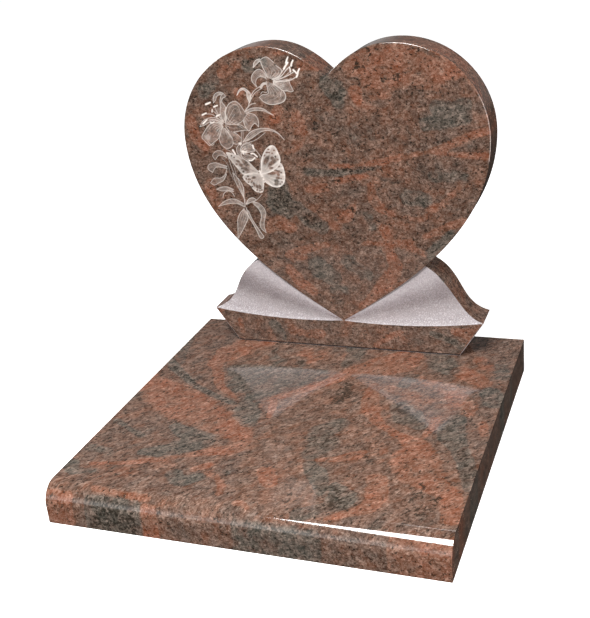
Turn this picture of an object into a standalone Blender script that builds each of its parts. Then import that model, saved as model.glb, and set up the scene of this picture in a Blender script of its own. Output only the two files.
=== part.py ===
"""Heart headstone: a polished granite heart with a winged base, carved in one, on a ledger slab.

Metres, +Z up. The origin is under the middle of the slab, and the carved face looks along -Y.
The heart stone is drawn flat, with x across and y up from its foot, and then stood up, so that
its depth lies along the drawing's z.
"""

import math

import bmesh
import bpy
from mathutils import Matrix, Vector

# Ledger slab
SLAB_WIDTH = 0.80
SLAB_DEPTH = 0.80
SLAB_THICKNESS = 0.08
NOSE_RADIUS = 0.04

# Heart stone on the slab
STONE_THICKNESS = 0.08
BACK_MARGIN = 0.028
BED_GAP = 0.0003

# Heart, heights from the foot
HEART_WIDTH = 0.70
LOBE_RADIUS = 0.2035
LOBE_HEIGHT = 0.503
CLEFT_HEIGHT = 0.637
CLEFT_SLOPE = math.radians(44.7)
TIP_HEIGHT = 0.070
TIP_SLOPE = math.radians(32.2)

# Winged base, whose wings leave the heart's flanks at WING_TOP_SPAN
FOOT_WIDTH = 0.544
WING_SPAN = 0.655
WING_TIP_HEIGHT = 0.0835
WING_TOP_SPAN = 0.396

# Frosted hollows between the heart's tip and the wings
LIP_SAG = 0.0095
HOLLOW_DEPTH = 0.012
STEP_DEPTH = 0.008

# Shape of the free curves, as shares of the lengths that they span
CLEFT_HANDLE = 0.575
LOBE_TOP_HANDLE = 0.28
TIP_HANDLE = 0.41
FLANK_HANDLE = 0.47
OGEE_TOP_HANDLE = (0.57, 0.245)
OGEE_TIP_HANDLE = (0.55, 0.112)
RIDGE_SHARE = 0.68
JOIN_SHARE = 0.84

# Cutter of a hollow: how far it runs past the stone
START_SHARE = 0.01
END_SHARE = 1.06
BELOW_LIP_SHARE = 0.05
LEAN_OFF_HEART = math.radians(6)
COVER = 0.015

# Edges and fineness
ARRIS = 0.0015
ARRIS_SEGMENTS = 2
NOSE_SEGMENTS = 16
CURVE_STEPS = 22
HOLLOW_STEPS_ALONG = 32
HOLLOW_STEPS_ACROSS = 24
SHARP_ANGLE = math.radians(35)
FLAT_ANGLE = math.radians(0.05)
WELD = 0.00001
QUARTER_ARC = 4 / 3 * math.tan(math.pi / 8)

# Finishes: colour, metallic and roughness
GRANITE = ("polished_granite", (0.205, 0.114, 0.084, 1.0), 0.0, 0.12)
FROSTED = ("frosted_granite", (0.54, 0.51, 0.54, 1.0), 0.0, 0.75)


def clear_scene():
    """Removes every object of the open file."""
    for obj in list(bpy.data.objects):
        bpy.data.objects.remove(obj, do_unlink=True)


def new_collection(name):
    """A collection of that name in the scene."""
    collection = bpy.data.collections.new(name)
    bpy.context.scene.collection.children.link(collection)
    return collection


def make_material(finish):
    """A Principled material from a finish's name, colour, metallic and roughness."""
    name, colour, metallic, roughness = finish
    material = bpy.data.materials.new(name)
    material.use_nodes = True
    shader = material.node_tree.nodes["Principled BSDF"]
    shader.inputs["Base Color"].default_value = colour
    shader.inputs["Metallic"].default_value = metallic
    shader.inputs["Roughness"].default_value = roughness
    return material


def polar(angle, length):
    """The flat vector of that length at that angle from the x axis."""
    return Vector((math.cos(angle), math.sin(angle))) * length


def straight(start, end):
    """A straight line as a cubic's four control points."""
    third = (end - start) / 3
    return [start, start + third, end - third, end]


def cubic_point(ends, share):
    """The point at that share of a cubic's run."""
    rest = 1 - share
    weights = (rest**3, 3 * rest**2 * share, 3 * rest * share**2, share**3)
    return sum((point * weight for point, weight in zip(ends, weights)), Vector((0, 0)))


def cubic_tail(ends, share):
    """The control points of a cubic from that share to its end."""
    tail = []
    points = list(ends)
    while points:
        tail.insert(0, points[-1])
        points = [a.lerp(b, share) for a, b in zip(points, points[1:])]
    return tail


def flank_curve():
    """The heart's right lower side, from its tip out to its widest point."""
    rise = LOBE_HEIGHT - TIP_HEIGHT
    tip = Vector((0, TIP_HEIGHT))
    widest = Vector((HEART_WIDTH / 2, LOBE_HEIGHT))
    tip_handle = tip + polar(TIP_SLOPE, TIP_HANDLE * rise)
    widest_handle = widest - Vector((0, FLANK_HANDLE * rise))
    return [tip, tip_handle, widest_handle, widest]


def flank_share_at(x):
    """The share of the flank's run where it is that far from the middle."""
    flank = flank_curve()
    low, high = 0.0, 1.0
    for _ in range(40):
        middle = (low + high) / 2
        if cubic_point(flank, middle).x < x:
            low = middle
        else:
            high = middle
    return low


def right_half_outline():
    """The stone's right side as cubics, from the foot's corner up to the cleft."""
    flank = flank_curve()
    lobe_x = HEART_WIDTH / 2 - LOBE_RADIUS
    arc = QUARTER_ARC * LOBE_RADIUS
    foot = Vector((FOOT_WIDTH / 2, 0))
    wing_tip = Vector((WING_SPAN / 2, WING_TIP_HEIGHT))
    upper_flank = cubic_tail(flank, flank_share_at(WING_TOP_SPAN / 2))
    join = upper_flank[0]
    widest = upper_flank[-1]
    lobe_top = Vector((lobe_x, LOBE_HEIGHT + LOBE_RADIUS))
    cleft = Vector((0, CLEFT_HEIGHT))
    run = wing_tip.x - join.x
    drop = join.y - wing_tip.y
    ogee_low = wing_tip + Vector((-OGEE_TIP_HANDLE[0] * run, OGEE_TIP_HANDLE[1] * drop))
    ogee_high = join + Vector((OGEE_TOP_HANDLE[0] * run, -OGEE_TOP_HANDLE[1] * drop))
    lobe_in = lobe_top - Vector((LOBE_TOP_HANDLE * lobe_x, 0))
    cleft_out = cleft + polar(CLEFT_SLOPE, CLEFT_HANDLE * lobe_x)
    return [
        straight(foot, wing_tip),
        [wing_tip, ogee_low, ogee_high, join],
        upper_flank,
        [widest, widest + Vector((0, arc)), lobe_top + Vector((arc, 0)), lobe_top],
        [lobe_top, lobe_in, cleft_out, cleft],
    ]


def mirrored(ends):
    """A cubic on the other side of the middle, run the other way."""
    return [Vector((-point.x, point.y)) for point in reversed(ends)]


def stone_outline():
    """The whole outline as cubics, anticlockwise from the foot's left corner."""
    right = right_half_outline()
    left = [mirrored(ends) for ends in reversed(right)]
    return [straight(left[-1][-1], right[0][0])] + right + left


def outline_solid(name, cubics, thickness):
    """A flat curve through the cubics, filled and extruded, turned into a mesh object."""
    curve = bpy.data.curves.new(name + "_outline", "CURVE")
    curve.dimensions = "2D"
    curve.fill_mode = "BOTH"
    curve.extrude = thickness / 2
    curve.resolution_u = CURVE_STEPS
    spline = curve.splines.new("BEZIER")
    spline.bezier_points.add(len(cubics) - 1)
    spline.use_cyclic_u = True
    for point, ends, before in zip(spline.bezier_points, cubics, cubics[-1:] + cubics[:-1]):
        point.handle_left_type = "FREE"
        point.handle_right_type = "FREE"
        point.co = ends[0].to_3d()
        point.handle_right = ends[1].to_3d()
        point.handle_left = before[2].to_3d()
    guide = bpy.data.objects.new(name + "_outline", curve)
    bpy.context.scene.collection.objects.link(guide)
    bpy.context.view_layer.update()
    evaluated = guide.evaluated_get(bpy.context.evaluated_depsgraph_get())
    mesh = bpy.data.meshes.new_from_object(evaluated)
    bpy.data.objects.remove(guide, do_unlink=True)
    bpy.data.curves.remove(curve)
    bm = bmesh.new()
    bm.from_mesh(mesh)
    bmesh.ops.remove_doubles(bm, verts=bm.verts, dist=WELD)
    bmesh.ops.dissolve_limit(bm, angle_limit=FLAT_ANGLE, verts=bm.verts, edges=bm.edges)
    bmesh.ops.recalc_face_normals(bm, faces=bm.faces)
    bm.to_mesh(mesh)
    bm.free()
    mesh.name = name
    return bpy.data.objects.new(name, mesh)


def lip_point(along):
    """The hollow's lower lip, from the heart's tip to the wing's tip."""
    height = TIP_HEIGHT + (WING_TIP_HEIGHT - TIP_HEIGHT) * along
    return Vector((along * WING_SPAN / 2, height - 4 * LIP_SAG * along * (1 - along)))


def heart_edge_point(along):
    """The hollow's upper edge: the heart's flank up to the wing's top, then off into the air."""
    join_share = flank_share_at(WING_TOP_SPAN / 2)
    flank = flank_curve()
    if along <= JOIN_SHARE:
        return cubic_point(flank, flank_share_at(WING_TOP_SPAN / 2 * along / JOIN_SHARE))
    join, after = cubic_tail(flank, join_share)[:2]
    heading = math.atan2(after.y - join.y, after.x - join.x) - LEAN_OFF_HEART
    reach = (join - flank[0]).length * (along / JOIN_SHARE - 1)
    return join + polar(heading, reach)


def hollow_depth(along, across):
    """Depth behind the face: a trough over the lip, a ridge at the face, a step at the heart."""
    if across <= RIDGE_SHARE:
        trough = across * (RIDGE_SHARE - across) ** 2 * 27 / (4 * RIDGE_SHARE**3)
        return along * HOLLOW_DEPTH * trough
    fall = (across - RIDGE_SHARE) / (1 - RIDGE_SHARE)
    return along * STEP_DEPTH * fall**2


def hollow_cutter(material):
    """The right hollow as a solid: a fan of straight lines from the heart's tip, and a cover."""
    face = STONE_THICKNESS / 2
    bm = bmesh.new()
    bmesh.ops.create_grid(
        bm, x_segments=HOLLOW_STEPS_ALONG, y_segments=HOLLOW_STEPS_ACROSS, size=0.5
    )
    for vert in bm.verts:
        along = START_SHARE + (vert.co.x + 0.5) * (END_SHARE - START_SHARE)
        across = (vert.co.y + 0.5) * (1 + BELOW_LIP_SHARE) - BELOW_LIP_SHARE
        lip = lip_point(along)
        spot = lip + (heart_edge_point(along) - lip) * across
        vert.co = (spot.x, spot.y, face - hollow_depth(along, across))
    cover = bmesh.ops.extrude_face_region(bm, geom=bm.faces[:])
    for item in cover["geom"]:
        if isinstance(item, bmesh.types.BMVert):
            item.co.z = face + COVER
    bmesh.ops.recalc_face_normals(bm, faces=bm.faces)
    mesh = bpy.data.meshes.new("hollow_cutter")
    bm.to_mesh(mesh)
    bm.free()
    mesh.materials.append(material)
    mesh.shade_smooth()
    return bpy.data.objects.new("hollow_cutter", mesh)


def add_arris(obj):
    """Eases the sharp edges by a narrow round."""
    bevel = obj.modifiers.new("arris", "BEVEL")
    bevel.width = ARRIS
    bevel.segments = ARRIS_SEGMENTS
    bevel.limit_method = "ANGLE"
    bevel.angle_limit = SHARP_ANGLE


def shade(obj):
    """Smooth shading that keeps the sharp edges."""
    obj.data.shade_smooth()
    obj.data.set_sharp_from_angle(angle=SHARP_ANGLE)


def build_slab(parts, granite):
    """The ledger slab, with its top front edge rounded over."""
    bm = bmesh.new()
    bmesh.ops.create_cube(bm, size=1)
    size = Matrix.Diagonal((SLAB_WIDTH, SLAB_DEPTH, SLAB_THICKNESS, 1))
    lift = Matrix.Translation((0, 0, SLAB_THICKNESS / 2))
    bmesh.ops.transform(bm, matrix=lift @ size, verts=bm.verts)
    nose = [
        edge
        for edge in bm.edges
        if all(vert.co.y < 0 and vert.co.z > SLAB_THICKNESS / 2 for vert in edge.verts)
    ]
    bmesh.ops.bevel(
        bm,
        geom=nose,
        offset=min(NOSE_RADIUS, SLAB_THICKNESS - 2 * ARRIS),
        segments=NOSE_SEGMENTS,
        profile=0.5,
        affect="EDGES",
    )
    mesh = bpy.data.meshes.new("ledger_slab")
    bm.to_mesh(mesh)
    bm.free()
    mesh.materials.append(granite)
    slab = bpy.data.objects.new("ledger_slab", mesh)
    parts.objects.link(slab)
    shade(slab)
    add_arris(slab)
    return slab


def build_stone(parts, cutters, granite, frosted):
    """The heart and its winged base in one, stood on the slab near its back edge."""
    stone = outline_solid("heart_stone", stone_outline(), STONE_THICKNESS)
    stone.data.materials.append(granite)
    stone.data.materials.append(frosted)
    parts.objects.link(stone)
    shade(stone)
    add_arris(stone)
    cutter = hollow_cutter(frosted)
    cutters.objects.link(cutter)
    cutter.parent = stone
    cutter.hide_render = True
    cutter.display_type = "WIRE"
    twin = cutter.modifiers.new("both_wings", "MIRROR")
    twin.use_mirror_merge = False
    hollow = stone.modifiers.new("hollows", "BOOLEAN")
    hollow.operation = "DIFFERENCE"
    hollow.solver = "EXACT"
    hollow.material_mode = "TRANSFER"
    hollow.object = cutter
    centre_y = SLAB_DEPTH / 2 - BACK_MARGIN - STONE_THICKNESS / 2
    stone.location = (0, centre_y, SLAB_THICKNESS + BED_GAP)
    stone.rotation_euler = (math.pi / 2, 0, 0)
    return stone


def main():
    """Builds both pieces under one empty."""
    clear_scene()
    parts = new_collection("heart_headstone")
    cutters = new_collection("heart_headstone_cutters")
    granite = make_material(GRANITE)
    frosted = make_material(FROSTED)
    memorial = bpy.data.objects.new("heart_headstone", None)
    parts.objects.link(memorial)
    build_slab(parts, granite).parent = memorial
    build_stone(parts, cutters, granite, frosted).parent = memorial
    bpy.context.view_layer.update()


main()
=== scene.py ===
"""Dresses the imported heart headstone: polished multicolour granite, frosted hollows and an etched spray."""

import logging
import math
from collections.abc import Sequence
from dataclasses import dataclass, field
from enum import Enum
from typing import NamedTuple

import bmesh
import bpy
import numpy as np
from mathutils import Matrix, Vector
from mathutils.geometry import delaunay_2d_cdt


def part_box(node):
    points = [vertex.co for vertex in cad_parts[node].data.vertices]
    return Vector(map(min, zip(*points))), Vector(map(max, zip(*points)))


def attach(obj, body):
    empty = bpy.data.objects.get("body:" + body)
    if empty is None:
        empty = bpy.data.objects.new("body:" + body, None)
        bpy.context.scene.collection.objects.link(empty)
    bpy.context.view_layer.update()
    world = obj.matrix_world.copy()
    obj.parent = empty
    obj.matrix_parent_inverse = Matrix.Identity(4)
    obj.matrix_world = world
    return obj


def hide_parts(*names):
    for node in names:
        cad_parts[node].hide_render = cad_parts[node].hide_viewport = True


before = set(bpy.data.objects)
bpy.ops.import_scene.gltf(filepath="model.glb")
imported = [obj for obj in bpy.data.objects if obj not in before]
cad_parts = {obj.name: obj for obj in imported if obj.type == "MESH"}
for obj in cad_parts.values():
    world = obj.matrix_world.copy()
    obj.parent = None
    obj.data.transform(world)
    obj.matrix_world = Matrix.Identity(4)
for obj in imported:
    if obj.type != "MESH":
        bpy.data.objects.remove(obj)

Point = tuple[float, float]
Place = tuple[float, float, float]
Tint = tuple[float, float, float, float]
Span = tuple[slice, slice]
Cell = tuple[int, int]
Socket = bpy.types.NodeSocket
Source = Socket | float | Sequence[float]
Feeds = dict[str | int, Source]

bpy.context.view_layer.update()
ONE_BODY = "root"
FROST = "frost"
MM = 0.001
POLISH_INDEX = 1.8
WHITE = (1.0, 1.0, 1.0, 1.0)
LOG = logging.getLogger("heart headstone")


def tint(red: int, green: int, blue: int, share: float = 1.0) -> Tint:
    """Turns a colour as the eye reads it off a screen into the linear one that a shader takes.

    Args:
        red: the screen's red, 0 to 255.
        green: the screen's green, 0 to 255.
        blue: the screen's blue, 0 to 255.
        share: how much of that light the surface itself sends back.

    Returns:
        The linear colour with full alpha.
    """
    shown = np.array([red, green, blue]) / 255.0
    linear = np.where(shown <= 0.04045, shown / 12.92, ((shown + 0.055) / 1.055) ** 2.4)
    return (*(float(value) * share for value in linear), 1.0)


def placed(name: str, data: bpy.types.ID) -> bpy.types.Object:
    """Puts a mesh, a light or a camera into the scene.

    Args:
        name: the object's name.
        data: what it holds.

    Returns:
        The new object.
    """
    made = bpy.data.objects.new(name, data)
    bpy.context.scene.collection.objects.link(made)
    return made


class Clouds(NamedTuple):
    """A cloud pattern: how close the clouds lie, their finer layers and how strong those are."""

    scale: float
    detail: float
    roughness: float = 0.5


class Ease(NamedTuple):
    """A smooth change from one level to another: where it starts and ends, and the level at either end."""

    start: float
    end: float
    low: float = 0.0
    high: float = 1.0


class Wiring:
    """Adds the nodes of one tree and joins them."""

    COLOUR_A = 6
    COLOUR_B = 7
    COLOUR_RESULT = 2

    def __init__(self, tree: bpy.types.NodeTree) -> None:
        """Keeps the tree that the nodes go into."""
        self.tree = tree

    def add(self, kind: str, feeds: Feeds | None = None, **settings: object) -> bpy.types.Node:
        """Adds one node.

        Args:
            kind: Blender's name for the type of node.
            feeds: what goes into its inputs, by name or number: a socket to join, or a plain value.
            **settings: the node's own settings.

        Returns:
            The new node.
        """
        node = self.tree.nodes.new(kind)
        for name, value in settings.items():
            setattr(node, name, value)
        for name, value in (feeds or {}).items():
            if isinstance(value, Socket):
                self.tree.links.new(value, node.inputs[name])
            else:
                node.inputs[name].default_value = value
        return node

    def number(self, operation: str, *values: Source, clamp: bool = False) -> Socket:
        """Does one sum.

        Args:
            operation: the Math node's operation.
            *values: its numbers, in order.
            clamp: whether the result is held between 0 and 1.

        Returns:
            The result.
        """
        node = self.add("ShaderNodeMath", dict(enumerate(values)), operation=operation, use_clamp=clamp)
        return node.outputs[0]

    def sway(self, pattern: Source, share: Source, base: Source) -> Socket:
        """Lets a pattern move a value up and down about its own level.

        Args:
            pattern: the pattern, about 0.5 on average.
            share: how far it moves the value.
            base: the value's own level.

        Returns:
            The swaying value.
        """
        return self.number("MULTIPLY_ADD", self.number("SUBTRACT", pattern, 0.5), share, base)

    def arrow(self, operation: str, *values: Source, scale: Source | None = None) -> Socket:
        """Does one sum with vectors.

        Args:
            operation: the Vector Math node's operation.
            *values: its vectors, in order.
            scale: the number of a SCALE operation.

        Returns:
            The resulting vector.
        """
        feeds: Feeds = dict(enumerate(values))
        if scale is not None:
            feeds["Scale"] = scale
        return self.add("ShaderNodeVectorMath", feeds, operation=operation).outputs["Vector"]

    def parts(self, vector: Source) -> bpy.types.bpy_prop_collection:
        """Parts a vector into its X, Y and Z."""
        return self.add("ShaderNodeSeparateXYZ", {0: vector}).outputs

    def turned(self, vector: Source, angle: float, axis: str) -> Socket:
        """Turns a vector.

        Args:
            vector: the vector.
            angle: how far, in radians.
            axis: X or Z, the axis that it turns about.

        Returns:
            The turned vector.
        """
        feeds: Feeds = {"Vector": vector, "Angle": angle}
        return self.add("ShaderNodeVectorRotate", feeds, rotation_type=f"{axis}_AXIS").outputs["Vector"]

    def tinted(self, share: Source, low: Source, high: Source, way: str = "MIX") -> Socket:
        """Mixes two colours.

        Args:
            share: how much of the second.
            low: the first colour.
            high: the second colour.
            way: the Mix node's blend type.

        Returns:
            The mixed colour.
        """
        feeds: Feeds = {0: share, self.COLOUR_A: low, self.COLOUR_B: high}
        return self.add("ShaderNodeMix", feeds, data_type="RGBA", blend_type=way).outputs[self.COLOUR_RESULT]

    def ease(
        self, value: Source, start: Source, end: Source, low: Source = 0.0, high: Source = 1.0
    ) -> Socket:
        """Takes a value smoothly from one level to another.

        Args:
            value: the value that is read.
            start: where the rise starts.
            end: where the rise ends.
            low: the result up to the start.
            high: the result from the end on.

        Returns:
            The eased value.
        """
        feeds: Feeds = {
            "Value": value, "From Min": start, "From Max": end, "To Min": low, "To Max": high,
        }
        return self.add("ShaderNodeMapRange", feeds, interpolation_type="SMOOTHSTEP").outputs["Result"]

    def clouds(self, place: Source, scale: Source, detail: float, roughness: float = 0.5) -> bpy.types.Node:
        """Adds a cloud pattern.

        Args:
            place: where it is read.
            scale: clouds per metre.
            detail: how many finer layers it has.
            roughness: how strong the finer layers are.

        Returns:
            The noise node.
        """
        feeds: Feeds = {"Vector": place, "Scale": scale, "Detail": detail, "Roughness": roughness}
        return self.add("ShaderNodeTexNoise", feeds)

    def surface(
        self, colour: Source, rough: Source, height: Source, relief: float = 1.0, gleam: Source = 0.5
    ) -> None:
        """Ends a material in the surface of a stone.

        Args:
            colour: its colour.
            rough: its roughness.
            height: its fine relief, in metres.
            relief: how strongly that shows.
            gleam: how strongly it mirrors.
        """
        bump = self.add("ShaderNodeBump", {"Height": height, "Strength": relief, "Distance": 1.0})
        feeds: Feeds = {
            "Base Color": colour, "Roughness": rough, "Normal": bump.outputs["Normal"],
            "IOR": POLISH_INDEX, "Specular IOR Level": gleam,
        }
        shader = self.add("ShaderNodeBsdfPrincipled", feeds)
        self.add("ShaderNodeOutputMaterial", {"Surface": shader.outputs["BSDF"]})


def new_material(name: str) -> tuple[bpy.types.Material, Wiring]:
    """Makes a material without nodes.

    Args:
        name: its name.

    Returns:
        The material and the wiring of its tree.
    """
    made = bpy.data.materials.new(name)
    made.use_nodes = True
    made.node_tree.nodes.clear()
    return made, Wiring(made.node_tree)


class Effect:
    """A node group that several materials use: built the first time that one asks for it."""

    NAME = ""
    INPUTS: tuple[tuple[str, str, object], ...] = ()
    OUTPUTS: tuple[tuple[str, str], ...] = ()

    @classmethod
    def place(cls, wiring: Wiring, feeds: Feeds) -> bpy.types.bpy_prop_collection:
        """Places the group in a material.

        Args:
            wiring: the material's tree.
            feeds: what goes into the group's inputs.

        Returns:
            The group's outputs.
        """
        tree = bpy.data.node_groups.get(cls.NAME) or cls._new_tree()
        return wiring.add("ShaderNodeGroup", feeds, node_tree=tree).outputs

    @classmethod
    def _new_tree(cls) -> bpy.types.NodeTree:
        """Makes the group's tree, its sockets and its nodes.

        Returns:
            The finished tree.
        """
        tree = bpy.data.node_groups.new(cls.NAME, "ShaderNodeTree")
        for name, kind, value in cls.INPUTS:
            socket = tree.interface.new_socket(name=name, in_out="INPUT", socket_type=kind)
            if value is not None:
                socket.default_value = value
        for name, kind in cls.OUTPUTS:
            tree.interface.new_socket(name=name, in_out="OUTPUT", socket_type=kind)
        wiring = Wiring(tree)
        given = wiring.add("NodeGroupInput").outputs
        result = cls.draw(wiring, given)
        wiring.add("NodeGroupOutput", result)
        return tree

    @classmethod
    def draw(cls, wiring: Wiring, given: bpy.types.bpy_prop_collection) -> Feeds:
        """Adds the group's own nodes.

        Args:
            wiring: the group's tree.
            given: the group's inputs.

        Returns:
            What goes to each of its outputs.
        """
        raise NotImplementedError


class StoneFlow(Effect):
    """Bends the stone's coordinates, so that its veins and grain wander as they do in gneiss."""

    NAME = "stone flow"
    INPUTS = (
        ("Vector", "NodeSocketVector", None),
        ("Swirl Size", "NodeSocketFloat", 0.2),
        ("Swirl", "NodeSocketFloat", 0.05),
        ("Ripple Size", "NodeSocketFloat", 0.03),
        ("Ripple", "NodeSocketFloat", 0.008),
    )
    OUTPUTS = (("Vector", "NodeSocketVector"),)
    LAYERS = (("Swirl Size", "Swirl", 1.0), ("Ripple Size", "Ripple", 2.0))

    @classmethod
    def draw(cls, wiring: Wiring, given: bpy.types.bpy_prop_collection) -> Feeds:
        """Adds a wide and a narrow wander to the place.

        Args:
            wiring: the group's tree.
            given: the group's inputs.

        Returns:
            The bent place.
        """
        place: Source = given["Vector"]
        for size, amount, detail in cls.LAYERS:
            scale = wiring.number("DIVIDE", 1.0, given[size])
            noise = wiring.clouds(given["Vector"], scale, detail).outputs["Color"]
            drift = wiring.arrow("SUBTRACT", noise, (0.5, 0.5, 0.5))
            place = wiring.arrow("ADD", place, wiring.arrow("SCALE", drift, scale=given[amount]))
        return {"Vector": place}


class GraniteCrystals(Effect):
    """The crystals of the granite: feldspar from grey to orange, by warmth, with dark mica between."""

    NAME = "granite crystals"
    INPUTS = (
        ("Vector", "NodeSocketVector", None),
        ("Warmth", "NodeSocketFloat", 0.5),
        ("Gloom", "NodeSocketFloat", 0.0),
        ("Crystal Size", "NodeSocketFloat", 0.004),
        ("Contrast", "NodeSocketFloat", 1.0),
    )
    OUTPUTS = (("Color", "NodeSocketColor"), ("Mica", "NodeSocketFloat"))
    MINERALS = (
        (0.00, tint(104, 97, 88)),
        (0.20, tint(115, 103, 93)),
        (0.40, tint(120, 97, 85)),
        (0.55, tint(131, 101, 86)),
        (0.70, tint(147, 106, 87)),
        (0.85, tint(158, 108, 87)),
        (1.00, tint(166, 105, 80)),
    )
    MICA = tint(52, 45, 36)
    QUARTZ = tint(178, 158, 146)
    NEUTRAL = tint(124, 108, 98)
    DARKEST = (0.02, 0.015, 0.01)
    CRYSTALS = ((0.4, 0.4), (0.8, 0.8), (1.7, 0.95))
    MOTTLE = Clouds(0.2, 1.5)
    MOTTLE_SHARE = 0.6
    VEIL = Clouds(0.28, 3.0, 0.6)
    VEIL_SHARE = 1.3
    TONE_STEP = 2.5
    GREY_SHARE = 0.8
    PALE_SPOTS = Clouds(1.2, 1.0)
    QUARTZ_COVER = Ease(0.62, 0.74, 0.0, 0.42)
    FLECKS = Clouds(0.66, 3.0, 0.65)
    MICA_LEVEL = 0.59
    MICA_PER_GLOOM = -0.14
    MICA_BELOW = 0.02
    MICA_ABOVE = 0.09
    MICA_COVER = 0.85

    @classmethod
    def draw(cls, wiring: Wiring, given: bpy.types.bpy_prop_collection) -> Feeds:
        """Tints the stone by its warmth, gives each crystal its own depth and strews mica and quartz.

        Args:
            wiring: the group's tree.
            given: the group's inputs.

        Returns:
            The stone's colour, and where mica lies.
        """
        place, contrast = given["Vector"], given["Contrast"]
        scale = wiring.number("DIVIDE", 1.0, given["Crystal Size"])
        mottle = cls._pattern(wiring, place, scale, cls.MOTTLE)
        base = cls._minerals(wiring, wiring.sway(mottle, cls.MOTTLE_SHARE, given["Warmth"]))
        depth = wiring.number("MULTIPLY", cls._depth(wiring, place, scale), contrast)
        tone = wiring.number("POWER", cls.TONE_STEP, depth)
        swing = wiring.tinted(cls.GREY_SHARE, base, cls.NEUTRAL)
        change = wiring.arrow("SCALE", swing, scale=wiring.number("SUBTRACT", tone, 1.0))
        colour = wiring.arrow("MAXIMUM", wiring.arrow("ADD", base, change), cls.DARKEST)
        pale = cls._pattern(wiring, place, scale, cls.PALE_SPOTS)
        quartz = wiring.number("MULTIPLY", wiring.ease(pale, *cls.QUARTZ_COVER), contrast)
        colour = wiring.tinted(quartz, colour, cls.QUARTZ)
        flecks = cls._pattern(wiring, place, scale, cls.FLECKS)
        level = wiring.number("MULTIPLY_ADD", given["Gloom"], cls.MICA_PER_GLOOM, cls.MICA_LEVEL)
        start = wiring.number("SUBTRACT", level, cls.MICA_BELOW)
        end = wiring.number("ADD", level, cls.MICA_ABOVE)
        mica = wiring.number("MULTIPLY", wiring.ease(flecks, start, end, 0.0, cls.MICA_COVER), contrast)
        return {"Color": wiring.tinted(mica, colour, cls.MICA), "Mica": mica}

    @staticmethod
    def _pattern(wiring: Wiring, place: Source, scale: Source, clouds: Clouds) -> Socket:
        """Reads a cloud pattern that is sized by the crystals.

        Args:
            wiring: the group's tree.
            place: where it is read.
            scale: crystals per metre.
            clouds: the pattern, with its scale in clouds per crystal.

        Returns:
            The pattern's value.
        """
        close = wiring.number("MULTIPLY", scale, clouds.scale)
        return wiring.clouds(place, close, clouds.detail, clouds.roughness).outputs["Fac"]

    @classmethod
    def _depth(cls, wiring: Wiring, place: Source, scale: Source) -> Socket:
        """Gives each crystal, large and small, a depth of tone of its own.

        Args:
            wiring: the group's tree.
            place: where it is read.
            scale: crystals per metre.

        Returns:
            How far the tone lies above or below the middle one.
        """
        total: Source = 0.0
        for finer, share in cls.CRYSTALS:
            close = wiring.number("MULTIPLY", scale, finer)
            cells = wiring.add("ShaderNodeTexVoronoi", {"Vector": place, "Scale": close}).outputs["Color"]
            chance = wiring.add("ShaderNodeSeparateColor", {0: cells}).outputs["Red"]
            total = wiring.sway(chance, share, total)
        return wiring.sway(cls._pattern(wiring, place, scale, cls.VEIL), cls.VEIL_SHARE, total)

    @classmethod
    def _minerals(cls, wiring: Wiring, warmth: Source) -> Socket:
        """Tints the stone from grey to orange with a colour ramp that holds the minerals.

        Args:
            wiring: the group's tree.
            warmth: where on the ramp it is read.

        Returns:
            The mineral's colour.
        """
        ramp = wiring.add("ShaderNodeValToRGB", {0: warmth})
        stops = ramp.color_ramp.elements
        stops[0].position, stops[0].color = cls.MINERALS[0]
        stops[1].position, stops[1].color = cls.MINERALS[-1]
        for position, colour in cls.MINERALS[1:-1]:
            stops.new(position).color = colour
        return ramp.outputs["Color"]


class Mineral(Enum):
    """What a vein or lens of the stone is rich in: the name of the mask that says where it lies."""

    ORANGE = "orange feldspar"
    GREY = "grey feldspar"
    DARK = "dark mica"


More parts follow.
